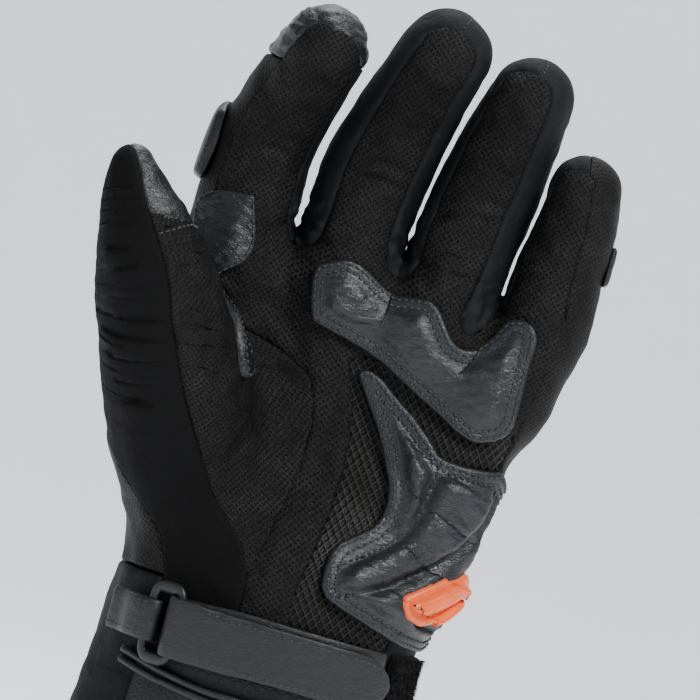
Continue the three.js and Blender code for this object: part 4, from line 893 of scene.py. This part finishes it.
# Pitches of the holes, the net's openings and the printed rings; a ring's radius is a share of its pitch
HOLE_PITCH = 1.25
NET_CELL = (2.3, 3.3)
RING_PITCH = 3.4
RING_RADIUS = 0.36
PERFORATED = perforated("perforated_leather")
PAD_LEATHER = leather("pad_leather", (0.0035, 0.0042, 0.0052), (0.0125, 0.0148, 0.018), 0.4, 0.5)
SMOOTH_LEATHER = leather("smooth_leather", (0.002, 0.0024, 0.0028), (0.006, 0.0072, 0.0085), 0.38, 0.5)
STRAP_LEATHER = leather("strap_leather", (0.0022, 0.0025, 0.0028), (0.0078, 0.0088, 0.01), 0.42, 0.3, 0.6)
SOFTSHELL = cloth("softshell", (0.0014, 0.002, 0.0028), (0.0038, 0.0052, 0.007), 0.72,
                  Specular_IOR_Level=0.22)
THUMB_CLOTH = cloth("thumb_cloth", (0.0006, 0.0006, 0.0008), (0.0015, 0.0016, 0.0019), 0.8,
                    Specular_IOR_Level=0.15)
NETTING = netting("grip_net")
PRINTED = printed("cuff_print")
PILE_CLOTH = cloth("loop_pile", (0.001, 0.001, 0.0012), (0.005, 0.005, 0.006), 0.95, 0.7, 0.5,
                   Specular_IOR_Level=0.2)
BUCKLE_METAL = moulded("buckle_lacquer", (0.022, 0.025, 0.028), 0.4, 0.3)
SLIDER_PLASTIC = moulded("slider_plastic", (0.9, 0.13, 0.022), 0.38, 0.0, 0.3, 0.015)
THREAD_DARK = cloth("dark_thread", (0.004, 0.0046, 0.0054), (0.014, 0.016, 0.018), 0.5, 0.25, 0.08)
THREAD_GREY = cloth("grey_thread", (0.008, 0.0095, 0.011), (0.03, 0.035, 0.041), 0.45, 0.25, 0.08)

# Fingers and the strips between them
cap_left = walk_at("index", 144, -1)
CAP_RIGHT, END = 0.22, 0.002


def gathered(base, spot, reach, size, seed, depth):
    """Folds of cloth that gather round a spot and fade with the distance from it."""
    near_spot = np.exp(-((length_of(base - spot) / reach) ** 2))
    return near_spot * depth * ripple(base, size, seed)


forks = [(CROTCHES[0], CAP_RIGHT + END, -END, "index_middle"), (CROTCHES[1], END, -END, "middle_ring"),
         (CROTCHES[2], END, -END, "ring_little")]
for seed, (crotch, start, stop, name) in enumerate(forks):
    grid = band_grid(fourchette_rows(crotch, start, stop), 230, 20, 0)
    height = tucked(from_edges(grid, (False, False)), 1.1, 2.2) + 0.16 * ripple(grid, 9, 40 + seed)
    crease = front(crotch["notch"][2][0], crotch["notch"][2][1] + 3)
    height += gathered(grid, crease, 13, 4.2, 50 + seed, 0.75)
    band_piece("fork_" + name, grid, height, SOFTSHELL, ["fourchette_" + name])

grid = band_grid(side_rows("index", np.linspace(cap_left, CAP_RIGHT, 9)), 90, 26, 0)
height = tucked(from_edges(grid), 0.8, 1.4) + 0.2 * ripple(grid, 5, 60)
height += 0.18 * ripple(grid * [1, 1, 2.4], 4.5, 61)
band_piece("index_cap", grid, height, SMOOTH_LEATHER, ["index_tip_cap"])

ulnar_front, ulnar_back = frontal(ULNAR_SEAM), dorsal(ULNAR_BACK)
ulnar_side = (ulnar_front + ulnar_back) / 2
ulnar_side[:, 0] = np.maximum(ulnar_front[:, 0], ulnar_back[:, 0]) + 14
ulnar_side[:, 2] = ulnar_front[:, 2]
ulnar_rows = np.stack([ulnar_front, settle(ulnar_side, 12), ulnar_back], 1)
outer_side = side_rows("little", np.linspace(END, walk_at("little", 104, 1), 7))
grid = band_grid(np.concatenate([outer_side, ulnar_rows[::-1]]), 170, 28)
height = tucked(from_edges(grid, (False, True))) + 0.25 * ripple(grid, 11, 62)
band_piece("little_side", grid, height, PERFORATED, ["little_side_panel"])

# Thumb
ball = frontal(BALL_SEAM)
web = near(WEB_SEAM)
behind = near(BEHIND_THUMB)
radial_front = near(RADIAL_FRONT)
TIP_LEANS, TIP_SHARE, SEAM_AT_TIP, REAR = (65, 35, 4), 106, 18, 165


def thumb_tip(angles):
    """Rows over the thumb's tip, from its side to its top."""
    return [[thumb_around(TIP_SHARE, angle, lean) for angle in angles] for lean in TIP_LEANS]


thenar = frontal(THENAR_SEAM[2:])
halfway = frontal((np.array(THENAR_SEAM[2:]) + np.array(BALL_SEAM[2:11])) / 2)
thumb_palm_rows = [[front(-9.6, 11), front(-9, 11), front(-8.4, 11)]] + [
    [ball[i + 2], halfway[i], thenar[i]] for i in range(9)] + [
    [ball[11], thumb_around(76, 55), web[0]], [ball[12], thumb_around(80, 70), web[1]],
    [ball[13], thumb_around(84, 85), web[2]], [ball[14], thumb_around(88, 95), web[3]],
    [ball[15], thumb_around(93, 90), thumb_around(91, 150)],
    [ball[16], thumb_around(98, 90), thumb_around(97, REAR)],
    [ball[17], thumb_around(102, 90), thumb_around(102, REAR)], *thumb_tip([SEAM_AT_TIP, 90, REAR])]
grid = band_grid(thumb_palm_rows, 190, 34)
height = tucked(from_edges(grid, (False, False)), 0.9, 1.4) - 0.2 + 0.3 * ripple(grid, 8, 63)
tip_height = up(96.5)
height -= 0.5 * np.exp(-(((grid[..., 2] - tip_height) / 0.8) ** 2))
tip_faces = (grid[:-1, :-1, 2].ravel() > tip_height).astype(int)
band_piece("thumb_palm", grid, height, [PERFORATED, SMOOTH_LEATHER],
           ["thumb_palm_panel"], tip_faces)
thumb_palm_grid = grid

thumb_back_rows = [
    [front(-9, -15), front(-20, -15), front(-30.5, -15)], [front(-9, 0), front(-20, 0), front(-30.5, 0)],
    [front(-9, 10), front(-20, 8), front(-32, 9)], [ball[2], front(-26, 16), radial_front[1]],
    [ball[3], front(-33, 24), radial_front[2]], [ball[4], front(-39, 33), radial_front[3]],
    [ball[5], near([-49, 42, -100]), radial_front[4]], [ball[6], near([-60, 52, -60]), behind[0]],
    [ball[7], near([-64, 61, -60]), behind[1]], [ball[9], near([-68, 72, -60]), behind[2]],
    [ball[12], thumb_around(83, -90), behind[3]],
    [ball[15], thumb_around(94, -95), thumb_around(91, REAR - 375)],
    [ball[16], thumb_around(98, -95), thumb_around(97, REAR - 360)],
    [ball[17], thumb_around(102, -95), thumb_around(102, REAR - 360)],
    *thumb_tip([SEAM_AT_TIP, -95, REAR - 360])]
grid = band_grid(thumb_back_rows, 190, 34)
height = tucked(from_edges(grid, (True, False)), 0.9, 1.6) + 0.25 * ripple(grid, 12, 64) - 0.02
band_piece("thumb_back", grid, height, THUMB_CLOTH, ["thumb_back_panel"])

radial_back = dorsal(RADIAL_BACK)
radial_rows = []
for i, fore in enumerate(radial_front):
    rear = radial_back[i]
    radial_rows.append([fore, settle([fore[0] - 6 + i, (fore[1] + rear[1]) / 2, fore[2]], 12), rear])
for i, fore in enumerate([*behind, web[3]]):
    radial_rows.append([fore, settle((fore + radial_back[i + 5]) / 2, 12), radial_back[i + 5]])
index_side = side_rows("index", np.linspace(walk_at("index", 104, -1), cap_left - 0.004, 6))
grid = band_grid(np.concatenate([radial_rows, index_side]), 190, 28)
height = tucked(from_edges(grid)) - 0.45 + 0.3 * ripple(grid, 10, 65)
band_piece("radial_side", grid, height, PERFORATED, ["radial_side_panel"])

# Palm and back of the hand
ROOT = dict(index=106, middle=106, ring=104, little=96)
PALM_VIEW = 24


def finger_edge(seam, notch_of):
    """The edge of the palm or the back over the finger roots, from the index to the little finger."""
    edge = []
    for i, name in enumerate(fingers):
        edge += [seam(name, walk_at(name, ROOT[name] + 4, side), 0.6)[0] for side in (-1, 1)]
        if i < len(CROTCHES):
            edge += list(notch_of(CROTCHES[i]))
    return edge


def finger_strip(name, seam, way, start, crease):
    """A finger's front or back between its seams: rows from root to tip, each cast across the finger."""
    walks = np.linspace(walk_at(name, start, 1), 0.02, 110)
    left, right = seam(name, -walks, 0.6), seam(name, walks, 0.6)
    share = np.linspace(0, 1, 27)[:, None]
    at = left[:, None] + (right - left)[:, None] * share
    at[..., 1] = -way * REACH
    grid = cast(at, [0, way, 0])
    height = tucked(from_edges(grid, (False, False)), 1.0, 1.8) + 0.22 * ripple(grid, 7, 70)
    bend = grid[..., 2] + 0.05 * (grid[..., 0] - grid[:, 13:14, 0]) ** 2 * 0.4
    for level, deep in crease:
        height -= deep * np.exp(-(((bend - up(level)) / 1.3) ** 2)) * ease(from_edges(grid) / 4)
    return sheet(grid, height, -SHELL, grid[..., [0, 2]])


# Creases at the finger joints: height and depth
CREASES = dict(index=[(123, 0.7), (126, 0.4)], middle=[(122, 0.8), (126.5, 0.6)],
               ring=[(119, 0.8), (124, 0.5)], little=[(108, 0.6), (112, 0.5)])
palm_loop = np.array(
    finger_edge(front_seam, lambda c: frontal(c["notch"]))
    + [front(a + 1.8, u) for a, u in ULNAR_SEAM[7:][::-1]]
    + [front(a, u - 1) for a, u in NET_TOP[::-1]] + [front(a + 0.8, u) for a, u in NET_SEAM[::-1]]
    + [front(a - 0.8, u) for a, u in THENAR_SEAM]
    + [near([a - 0.5, u - 0.5, depth]) for a, u, depth in WEB_SEAM])


def palm_height(flat, depth, base):
    """Height of the palm's and the back's leather: tucked at its edge, softly wavy."""
    return tucked(depth, 0.9, 1.6) + 0.3 * ripple(base, 9, 71) + 0.1 * ripple(base, 3.5, 72)


palm = laid_sheet(outline(palm_loop, PALM_VIEW, 0.6), PALM_VIEW, 0.9, palm_height, -SHELL)
strips = [finger_strip(name, front_seam, 1, ROOT[name] - 1, CREASES[name]) for name in fingers]
make("palm_leather", several([palm, *strips]), PERFORATED, ["palm_panel"])

back_loop = np.array(
    finger_edge(back_seam, lambda c: back(c["dorsal"][0] + np.array([-4, -2, 0, 2, 4]),
                                          c["dorsal"][1] + np.array([4, 2, 0, 2, 4])))
    + [back(a + 1, u) for a, u in ULNAR_BACK[1:][::-1]] + [back(a - 1, u) for a, u in RADIAL_BACK])
back_sheet = laid_sheet(outline(back_loop, 180, 0.6), 180, 1.2, palm_height, -SHELL)
strips = [finger_strip(name, back_seam, -1, ROOT[name] - 8, []) for name in fingers]
make("hand_back", several([back_sheet, *strips]), PERFORATED, ["back_panel"])

net_side = [front(a + 2, u) for a, u in ULNAR_SEAM[:7][::-1]]
net_loop = np.concatenate([[front(34, -15)], frontal(NET_SEAM), frontal(NET_TOP), net_side])


def net_height(flat, depth, base):
    """Crossed bars of the net stand over its openings: the distance to the diamond lattice's lines."""
    u, v = flat[:, 0] / NET_CELL[0], flat[:, 1] / NET_CELL[1]
    bar = np.minimum(np.abs((u + v) % 1 - 0.5), np.abs((u - v) % 1 - 0.5))
    return -0.75 - 0.35 * ease(bar / 0.3) + tucked(depth, 0.5, 1.5)


net = laid_sheet(outline(net_loop, 0, 0.8), 0, 0.55, net_height, -SHELL - 0.1)
make("net_sheet", net, NETTING, ["grip_net"])

# Padded reinforcements
FLANGE, FLANGE_HEIGHT, ROW_INSETS = 4.2, 1.25, (1.3, 3.1)


def quilted(top, channels, loop_seed):
    """Height of a pad: a flat stitched flange, a rounded rise to the top, and grooves along its channels."""
    def height(flat, depth, base):
        """The flange's height, the rise over it and the wrinkles, added up."""
        flange = SEAT + FLANGE_HEIGHT * dome(depth / 0.9)
        rows = sum(np.exp(-(((depth - inset) / 0.35) ** 2)) for inset in ROW_INSETS)
        rise = (top - FLANGE_HEIGHT) * ease((depth - FLANGE + 0.6) / 3.6)
        for line, wide in channels:
            rise *= 1 - 0.98 * np.exp(-((to_line(flat, line) / wide) ** 2))
        wrinkle = 0.13 * ripple(base * [0.7, 1, 1.6], 3.4, loop_seed) + 0.2 * ripple(base, 8, loop_seed + 1)
        return flange + rise - 0.22 * rows + wrinkle * ease((depth - FLANGE) / 2)
    return height


def double_row(loop, azimuth, height=SEAT + FLANGE_HEIGHT + 0.02):
    """Two rows of stitches round a pad, on its flange."""
    return [stitched_on(drawn_in(loop, inset), azimuth, height) for inset in ROW_INSETS]


meta_loop = outline(frontal(METACARPAL_LOOP), 0, 0.9)
parts = laid_sheet(meta_loop, 0, 0.6, quilted(METACARPAL_PAD, [], 80), 0.2)
cushion = make("metacarpal_cushion", parts, PAD_LEATHER, ["metacarpal_pad"])

HEEL_VIEW = 32
heel_points = np.concatenate([frontal(HEEL_LOOP), near(HEEL_SIDE), frontal(HEEL_RETURN)])
heel_loop = outline(heel_points, HEEL_VIEW, 0.9)
channels = [outline(frontal(rows), HEEL_VIEW, 1.2, closed=False) for rows in HEEL_CHANNELS]
slider_seat = outline(frontal(SLIDER_SEAT), HEEL_VIEW, 0.6, closed=False)
heel_height = quilted(HEEL_PAD + 0.3, [(channels[0], 1.9), (channels[1], 1.6), (slider_seat, 1.1)], 82)
parts = laid_sheet(heel_loop, HEEL_VIEW, 0.6, heel_height, 0.2)
cushion = make("heel_cushion", parts, PAD_LEATHER, ["heel_pad"])

pad_rows = double_row(meta_loop, 0) + double_row(heel_loop, HEEL_VIEW)
make("pad_stitches", several(pad_rows)[:2], THREAD_GREY)
lines = [stitched_on(line[3:-3], HEEL_VIEW, SEAT + FLANGE_HEIGHT + 0.25, thread=0.26) for line in channels]
lines.append(stitched_on(slider_seat, HEEL_VIEW, SEAT + FLANGE_HEIGHT + 0.35, thread=0.24))
make("channel_stitches", several(lines)[:2], THREAD_DARK)

# Patch in the fork of the thumb
web_grid = band_grid([near(row) for row in WEB_ROWS], 90, 22, 1, 0)
edge = from_edges(web_grid)
web_height = (SEAT + PATCH) * dome(edge / 1.1) + 0.25 * ripple(web_grid, 3.4, 84) * ease(edge / 3)
web_height -= 0.25 * np.exp(-(((edge - 1.5) / 0.4) ** 2))
band_piece("web_leather", web_grid, web_height, SMOOTH_LEATHER,
           ["web_patch", "web_patch_tail"], low=-0.3)


def grid_line(grid, row, column):
    """A line over a grid, at shares of its rows and columns: every point is the nearest grid point."""
    i = np.clip(np.round(np.asarray(row) * (grid.shape[0] - 1)).astype(int), 0, grid.shape[0] - 1)
    j = np.clip(np.round(np.asarray(column) * (grid.shape[1] - 1)).astype(int), 0, grid.shape[1] - 1)
    return grid[i, j]


share = np.linspace(0.03, 0.97, 60)
web_edges = [grid_line(web_grid, share, 0 * share + 0.1), grid_line(web_grid, share[::-1], 0 * share + 0.9)]
tip_row = np.abs(thumb_palm_grid[:, 17, 2] - tip_height).argmin()
tip_line = thumb_palm_grid[tip_row, 1:-1]
finger_rows = [sewn(np.concatenate(web_edges), SEAT + PATCH - 0.05), sewn(tip_line, -0.35)]
for name in ("middle", "ring"):
    seam_rows = through(side_rows(name, np.array([0.0]))[0], np.linspace(0, 1, 40))
    finger_rows.append(sewn(settle(seam_rows), -0.3, pitch=1.7))
make("finger_stitches", several(finger_rows)[:2], THREAD_GREY)

# Knuckle plates
for finger, rows, azimuth, tall in [("index", INDEX_PLATE, -95, KNUCKLE),
                                    ("little", LITTLE_PLATE, 95, KNUCKLE / 2)]:
    plate = laid_sheet(outline(near(rows), azimuth, 1.2), azimuth, 0.7,
                       lambda flat, depth, base, tall=tall: SEAT + tall * dome(depth / 2.5), 0.1)
    make(finger + "_plate", plate, SMOOTH_LEATHER, [finger + "_knuckle_plate"])

# Slider: a plate with two raised bars
ON_PAD = SEAT + HEEL_PAD + GAP
SLIDER_VIEW = 66


def slider_part(loop, low, high, edge):
    """A raised shape of the slider: its height rises in a quarter circle from low to high."""
    return laid_sheet(outline(round_wrist(*np.array(loop).T), SLIDER_VIEW, 0.5, 0.3), SLIDER_VIEW, 0.4,
                      lambda flat, depth, base: low + (high - low) * dome(depth / edge), low - 0.5)


parts = several([slider_part(PLATE, ON_PAD, ON_PAD + SLIDER_BASE, 0.8)]
                + [slider_part(loop, ON_PAD + SLIDER_BASE - 0.2, ON_PAD + SLIDER, 1.3) for loop in BARS])
make("slider", parts, SLIDER_PLASTIC, ["palm_slider"])

# Cuff
CUFF_SEAMS, HEM, BINDING_RINGS, BINDING_SIDES = (-51, 57), 3, 144, 10
for name, start, stop, top, paint, slot_name, node in [
        ("cuff_front", *CUFF_SEAMS, HAND_END - 1, PRINTED, "cuff_fabric", "cuff_front_panel"),
        ("cuff_back", CUFF_SEAMS[1], CUFF_SEAMS[0] + 360, CUFF_TOP, SOFTSHELL, "softshell",
         "cuff_back_panel")]:
    angles = np.linspace(start - 0.6, stop + 0.6, int((stop - start) / 2.2))
    grid = round_wrist(angles[None], np.linspace(top, HEM - 100.5, 90)[:, None])
    height = tucked(from_edges(grid), 0.8, 1.5) + 0.35 * ripple(grid * [1, 1, 0.6], 16, 86)
    band_piece(name, grid, height, paint, [node])

angles = np.linspace(0, 360, BINDING_RINGS + 1)[:-1]
mouth = round_wrist(angles, HEM - 101.4)
turn = np.arange(BINDING_SIDES) * 2 * math.pi / BINDING_SIDES
out = outward(mouth) * [1, 1, 0]
rings = mouth[:, None] + unit(out)[:, None] * (np.cos(turn) * 1.9 - 0.7)[:, None] + np.array([0, 0, 1.0]) * (
    np.sin(turn) * 1.45)[:, None]
lay = laid_out(np.arange(BINDING_SIDES) * 1.0, np.arange(BINDING_RINGS)[:, None] * 2.3)
make("cuff_edge", (rings.reshape(-1, 3), hoop_quads(BINDING_RINGS, BINDING_SIDES), lay), STRAP_LEATHER,
     ["cuff_binding"])

for i, drop in enumerate((0, 2.7)):
    a = np.linspace(-35, 33, 120)
    foot = front(a, -23 - drop + 6 * ((a - 2) / 40) ** 2)
    ways = outward(foot)
    piping = tube(foot + ways * (SEAT + WELT * 0.7), 10, ways, WELT, WELT)
    make(f"cuff_piping_{i + 1}", piping, STRAP_LEATHER, [f"cuff_welt_{i + 1}"])

# Strap, buckle and the loop that anchors it
STRAP_MIDDLE, STRAP_LEAN, STRAP_TIP = -8.6, -0.033, 30.5
FOLD, FOLD_RADIUS, RIBBON_SIDES = (-21.4, 4.5), 2.7, 24
LOW = 2.3 * SEAT + STRAP_LAYER / 2
TOP = LOW + STRAP_LAYER + 0.9


def fold(middle, side, count=9):
    """A half turn round a bar, from under it to over it, as across and height."""
    turn = np.radians(np.linspace(-90, 90, count))
    return [[middle[0] + side * FOLD_RADIUS * math.cos(t), middle[1] + FOLD_RADIUS * math.sin(t)]
            for t in turn]


def ribbon(path, half_width, middle, lean, thickness):
    """A flat strap round a path of across and height: at each step a rounded oblong, whose long axis
    runs up the glove and whose short axis is square to the path."""
    path = np.asarray(path, float)
    way = unit(np.gradient(path, axis=0))
    turn = np.linspace(0, 2 * math.pi, RIBBON_SIDES, endpoint=False) + math.pi / RIBBON_SIDES
    wide, thick = powered(np.cos(turn), 0.35), powered(np.sin(turn), 0.6)
    a = path[:, :1] - way[:, 1:] * thick * thickness / 2
    h = path[:, 1:] + way[:, :1] * thick * thickness / 2
    u = middle[:, None] + half_width[:, None] * wide + lean * a
    foot = front(a, u)
    rings = foot + outward(foot) * h[..., None]
    lay = laid_out(half_width[:, None] * wide, run_of(path)[:, None])
    return rings.reshape(-1, 3), tube_quads(len(path), RIBBON_SIDES), lay


def evened(path, spacing=0.7):
    """A path cut into even steps after a spline through its points."""
    fine = through(np.asarray(path, float), np.linspace(0, 1, 600))
    run = run_of(fine)
    return read_at(np.linspace(0, run[-1], int(run[-1] / spacing)), run, fine)


strap_path = evened([[a, LOW] for a in np.linspace(31, -16, 9)] + fold(FOLD, -1)
                    + [[-17, FOLD[1] + FOLD_RADIUS - 0.7], [-12, TOP + 0.8], [-6, TOP]]
                    + [[a, TOP] for a in np.linspace(0, STRAP_TIP + 1.5, 6)])
turned = strap_path[:, 0].argmin()
is_top = np.arange(len(strap_path)) > turned
half = np.full(len(strap_path), STRAP_WIDTH / 2)
rounding = np.where(is_top, np.clip((strap_path[:, 0] - STRAP_TIP + 6.5) / 8, 0, 0.995), 0)
half *= np.sqrt(1 - rounding ** 2.4)
step = np.arange(len(strap_path)) - turned
middle = STRAP_MIDDLE + np.where(is_top, -0.1, 1.3 * ease(-step / 30))
parts = ribbon(strap_path, half, middle, STRAP_LEAN, STRAP_LAYER)
make("strap", parts, STRAP_LEATHER, ["wrist_strap"])


def edge_stitches(path, half_width, middle_line, lean, inset, thickness):
    """Stitch rows along both edges of a strap's upper face."""
    rows = []
    for side in (-1, 1):
        foot = front(path[:, 0], middle_line + side * (half_width - inset) + lean * path[:, 0])
        ways = outward(foot)
        over = foot + ways * (path[:, 1] + thickness / 2 - 0.05)[:, None]
        rows.append(stitches(over, ways, thread=0.24, pitch=2.1))
    return rows


over = (step > 14) & (strap_path[:, 0] < STRAP_TIP - 0.5)
rows = edge_stitches(strap_path[over], half[over], middle[over], STRAP_LEAN, 1.6, STRAP_LAYER)

tab_bar = (FOLD[0] - (11 - 2.4) * 0.94, FOLD[1])
ring_middle = STRAP_MIDDLE + STRAP_LEAN * FOLD[0]
tab_path = evened([[tab_bar[0] - 8.5, LOW], [tab_bar[0] - 5.5, LOW], [tab_bar[0] - 3, LOW]] + fold(tab_bar, 1)
                  + [[tab_bar[0] - 3.2, TOP + 1.6], [tab_bar[0] - 6, TOP], [tab_bar[0] - 9, TOP - 0.2]], 0.5)
tab_half = np.full(len(tab_path), TAB_WIDTH / 2)
tab_middle = np.full(len(tab_path), ring_middle)
parts = ribbon(tab_path, tab_half, tab_middle, 0, TAB_LAYER)
make("buckle_loop", parts, STRAP_LEATHER, ["buckle_tab"])
tab_over = np.arange(len(tab_path)) > tab_path[:, 0].argmax() + 5
rows += edge_stitches(tab_path[tab_over], tab_half[tab_over], tab_middle[tab_over], 0, 1.4, TAB_LAYER)
make("strap_stitches", several(rows)[:2], THREAD_GREY)

RING_STEPS, RING_SIDES = 96, 12
ends = front(np.array([tab_bar[0], FOLD[0]]), ring_middle)
ends += outward(ends) * FOLD[1]
ring_side = unit((ends[1] - ends[0]) * [1, 1, 0])
ring_out = np.array([ring_side[1], -ring_side[0], 0])
centre = (ends[0] + ends[1]) / 2
centre[2] = up(ring_middle)
turn = np.linspace(0, 2 * math.pi, RING_STEPS, endpoint=False)
track = centre + ring_side * (4.35 * powered(np.cos(turn), 0.5))[:, None] + np.array([0, 0, 1.0]) * (
    9.7 * powered(np.sin(turn), 0.32))[:, None]
ahead = unit(np.roll(track, -1, 0) - np.roll(track, 1, 0))
aside = np.cross(ahead, ring_out)
lie = np.arange(RING_SIDES) * 2 * math.pi / RING_SIDES
bar = 1.2 + 0.45 * np.abs(np.sin(turn)) ** 6
rings = track[:, None] + aside[:, None] * (np.cos(lie) * bar[:, None])[..., None] + ring_out * (
    np.sin(lie) * 0.95)[:, None]
make("buckle", (rings.reshape(-1, 3), hoop_quads(RING_STEPS, RING_SIDES)), BUCKLE_METAL,
     ["strap_buckle"])

# Loop pile for the strap's end: a fuzzy sheet and short bristles
PILE_VIEW = 70
pile_loop = outline(round_wrist(*np.array(PILE_LOOP).T), PILE_VIEW, 1.0)


def pile_height(flat, depth, base):
    """Height of the pile's sheet: round at its edge, rough on top."""
    return SEAT + (PILE - 0.3) * dome(depth / 1.2) + 0.25 * ripple(base, 1.6, 90) * ease(depth)


pile = laid_sheet(pile_loop, PILE_VIEW, 0.45, pile_height, 0.2)
rng = np.random.default_rng(91)
flat, depth, _ = clipped(pile_loop, 0.42)
flat = flat[depth > 0.2] + rng.uniform(-0.2, 0.2, (int((depth > 0.2).sum()), 2))
base = lay_on(flat, PILE_VIEW)
ways = outward(base)
root = base + ways * (SEAT + PILE - 0.9)
lean = unit(ways + rng.normal(scale=0.45, size=ways.shape))
aside = unit(np.cross(lean, rng.normal(size=ways.shape)))
third = np.cross(lean, aside)
long = rng.uniform(1.0, 1.9, (len(root), 1))
corners = [root + aside * 0.11, root - aside * 0.055 + third * 0.095, root - aside * 0.055 - third * 0.095,
           root + lean * long + aside * 0.02, root + lean * long - aside * 0.01 + third * 0.017,
           root + lean * long - aside * 0.01 - third * 0.017]
points = np.stack(corners, 1).reshape(-1, 3)
one = np.array([[0, 1, 4, 3], [1, 2, 5, 4], [2, 0, 3, 5]])
bristles = points, (one + np.arange(len(root))[:, None, None] * 6).reshape(-1, 4), np.zeros((len(points), 2))
make("pile", several([pile, bristles]), PILE_CLOTH, ["loop_patch"])

# Camera, backdrop and light
PIXEL, ROLL, AWAY = 0.27, math.radians(15), 1100
middle = Vector((2.18, -AWAY, 175.4)) / 1000
right, upward = Vector((math.cos(ROLL), 0, math.sin(ROLL))), Vector((-math.sin(ROLL), 0, math.cos(ROLL)))
view = Matrix((right, upward, right.cross(upward))).transposed()
camera = in_scene("camera", bpy.data.cameras.new("camera"))
camera.data.lens = 36 * (AWAY - 20) / (700 * PIXEL)
camera.matrix_world = Matrix.Translation(middle) @ view.to_4x4()
bpy.context.scene.camera = camera


def backdrop():
    """A pale floor that turns up in a wide curve into a wall behind the glove, well out of its way."""
    bend = np.radians(np.linspace(0, 90, 24))
    y = np.concatenate([[-3.0, 0.0], 1.4 + 1.2 * np.sin(bend), [2.6]])
    z = np.concatenate([[0.0, 0.0], 1.2 - 1.2 * np.cos(bend), [4.5]]) - 0.002
    x = np.linspace(-4, 4, 9)
    points = np.stack(np.broadcast_arrays(x, y[:, None], z[:, None]), -1).reshape(-1, 3)
    mesh = bpy.data.meshes.new("backdrop")
    mesh.from_pydata(points.tolist(), [], grid_quads(len(y), 9).tolist())
    mesh.polygons.foreach_set("use_smooth", np.ones(len(mesh.polygons), bool))
    screen = in_scene("backdrop", mesh)
    material, body = shader("backdrop_paper", (0.8, 0.805, 0.815), 0.9, Emission_Color=(0.93, 0.95, 1, 1),
                            Emission_Strength=0.85)
    fibre = noise(material, place(material), 30, 4)
    tint(material, body, fibre, [(0.3, (0.78, 0.785, 0.795)), (0.7, (0.81, 0.815, 0.825))])
    mesh.materials.append(material)


backdrop()


def area_light(name, place_m, aim, size, power):
    """A round white lamp at a place in metres, turned to its aim."""
    lamp = bpy.data.lights.new(name, "AREA")
    lamp.shape, lamp.size, lamp.energy = "DISK", size, power
    holder = in_scene(name, lamp)
    holder.location = place_m
    holder.rotation_euler = (Vector(aim) - Vector(place_m)).to_track_quat("-Z", "Y").to_euler()


area_light("key", (0.5, -0.6, 0.95), (0.02, 0, 0.17), 0.4, 15)
area_light("fill", (-0.9, -1.0, 0.5), (0, 0, 0.15), 0.9, 3)
area_light("top", (-0.1, 0.35, 1.1), (0, 0, 0.2), 0.6, 6)
world = bpy.data.worlds.new("room")
world.use_nodes = True
sky = world.node_tree.nodes["Background"]
sky.inputs["Color"].default_value = (0.93, 0.95, 1, 1)
sky.inputs["Strength"].default_value = 0.24
bpy.context.scene.world = world
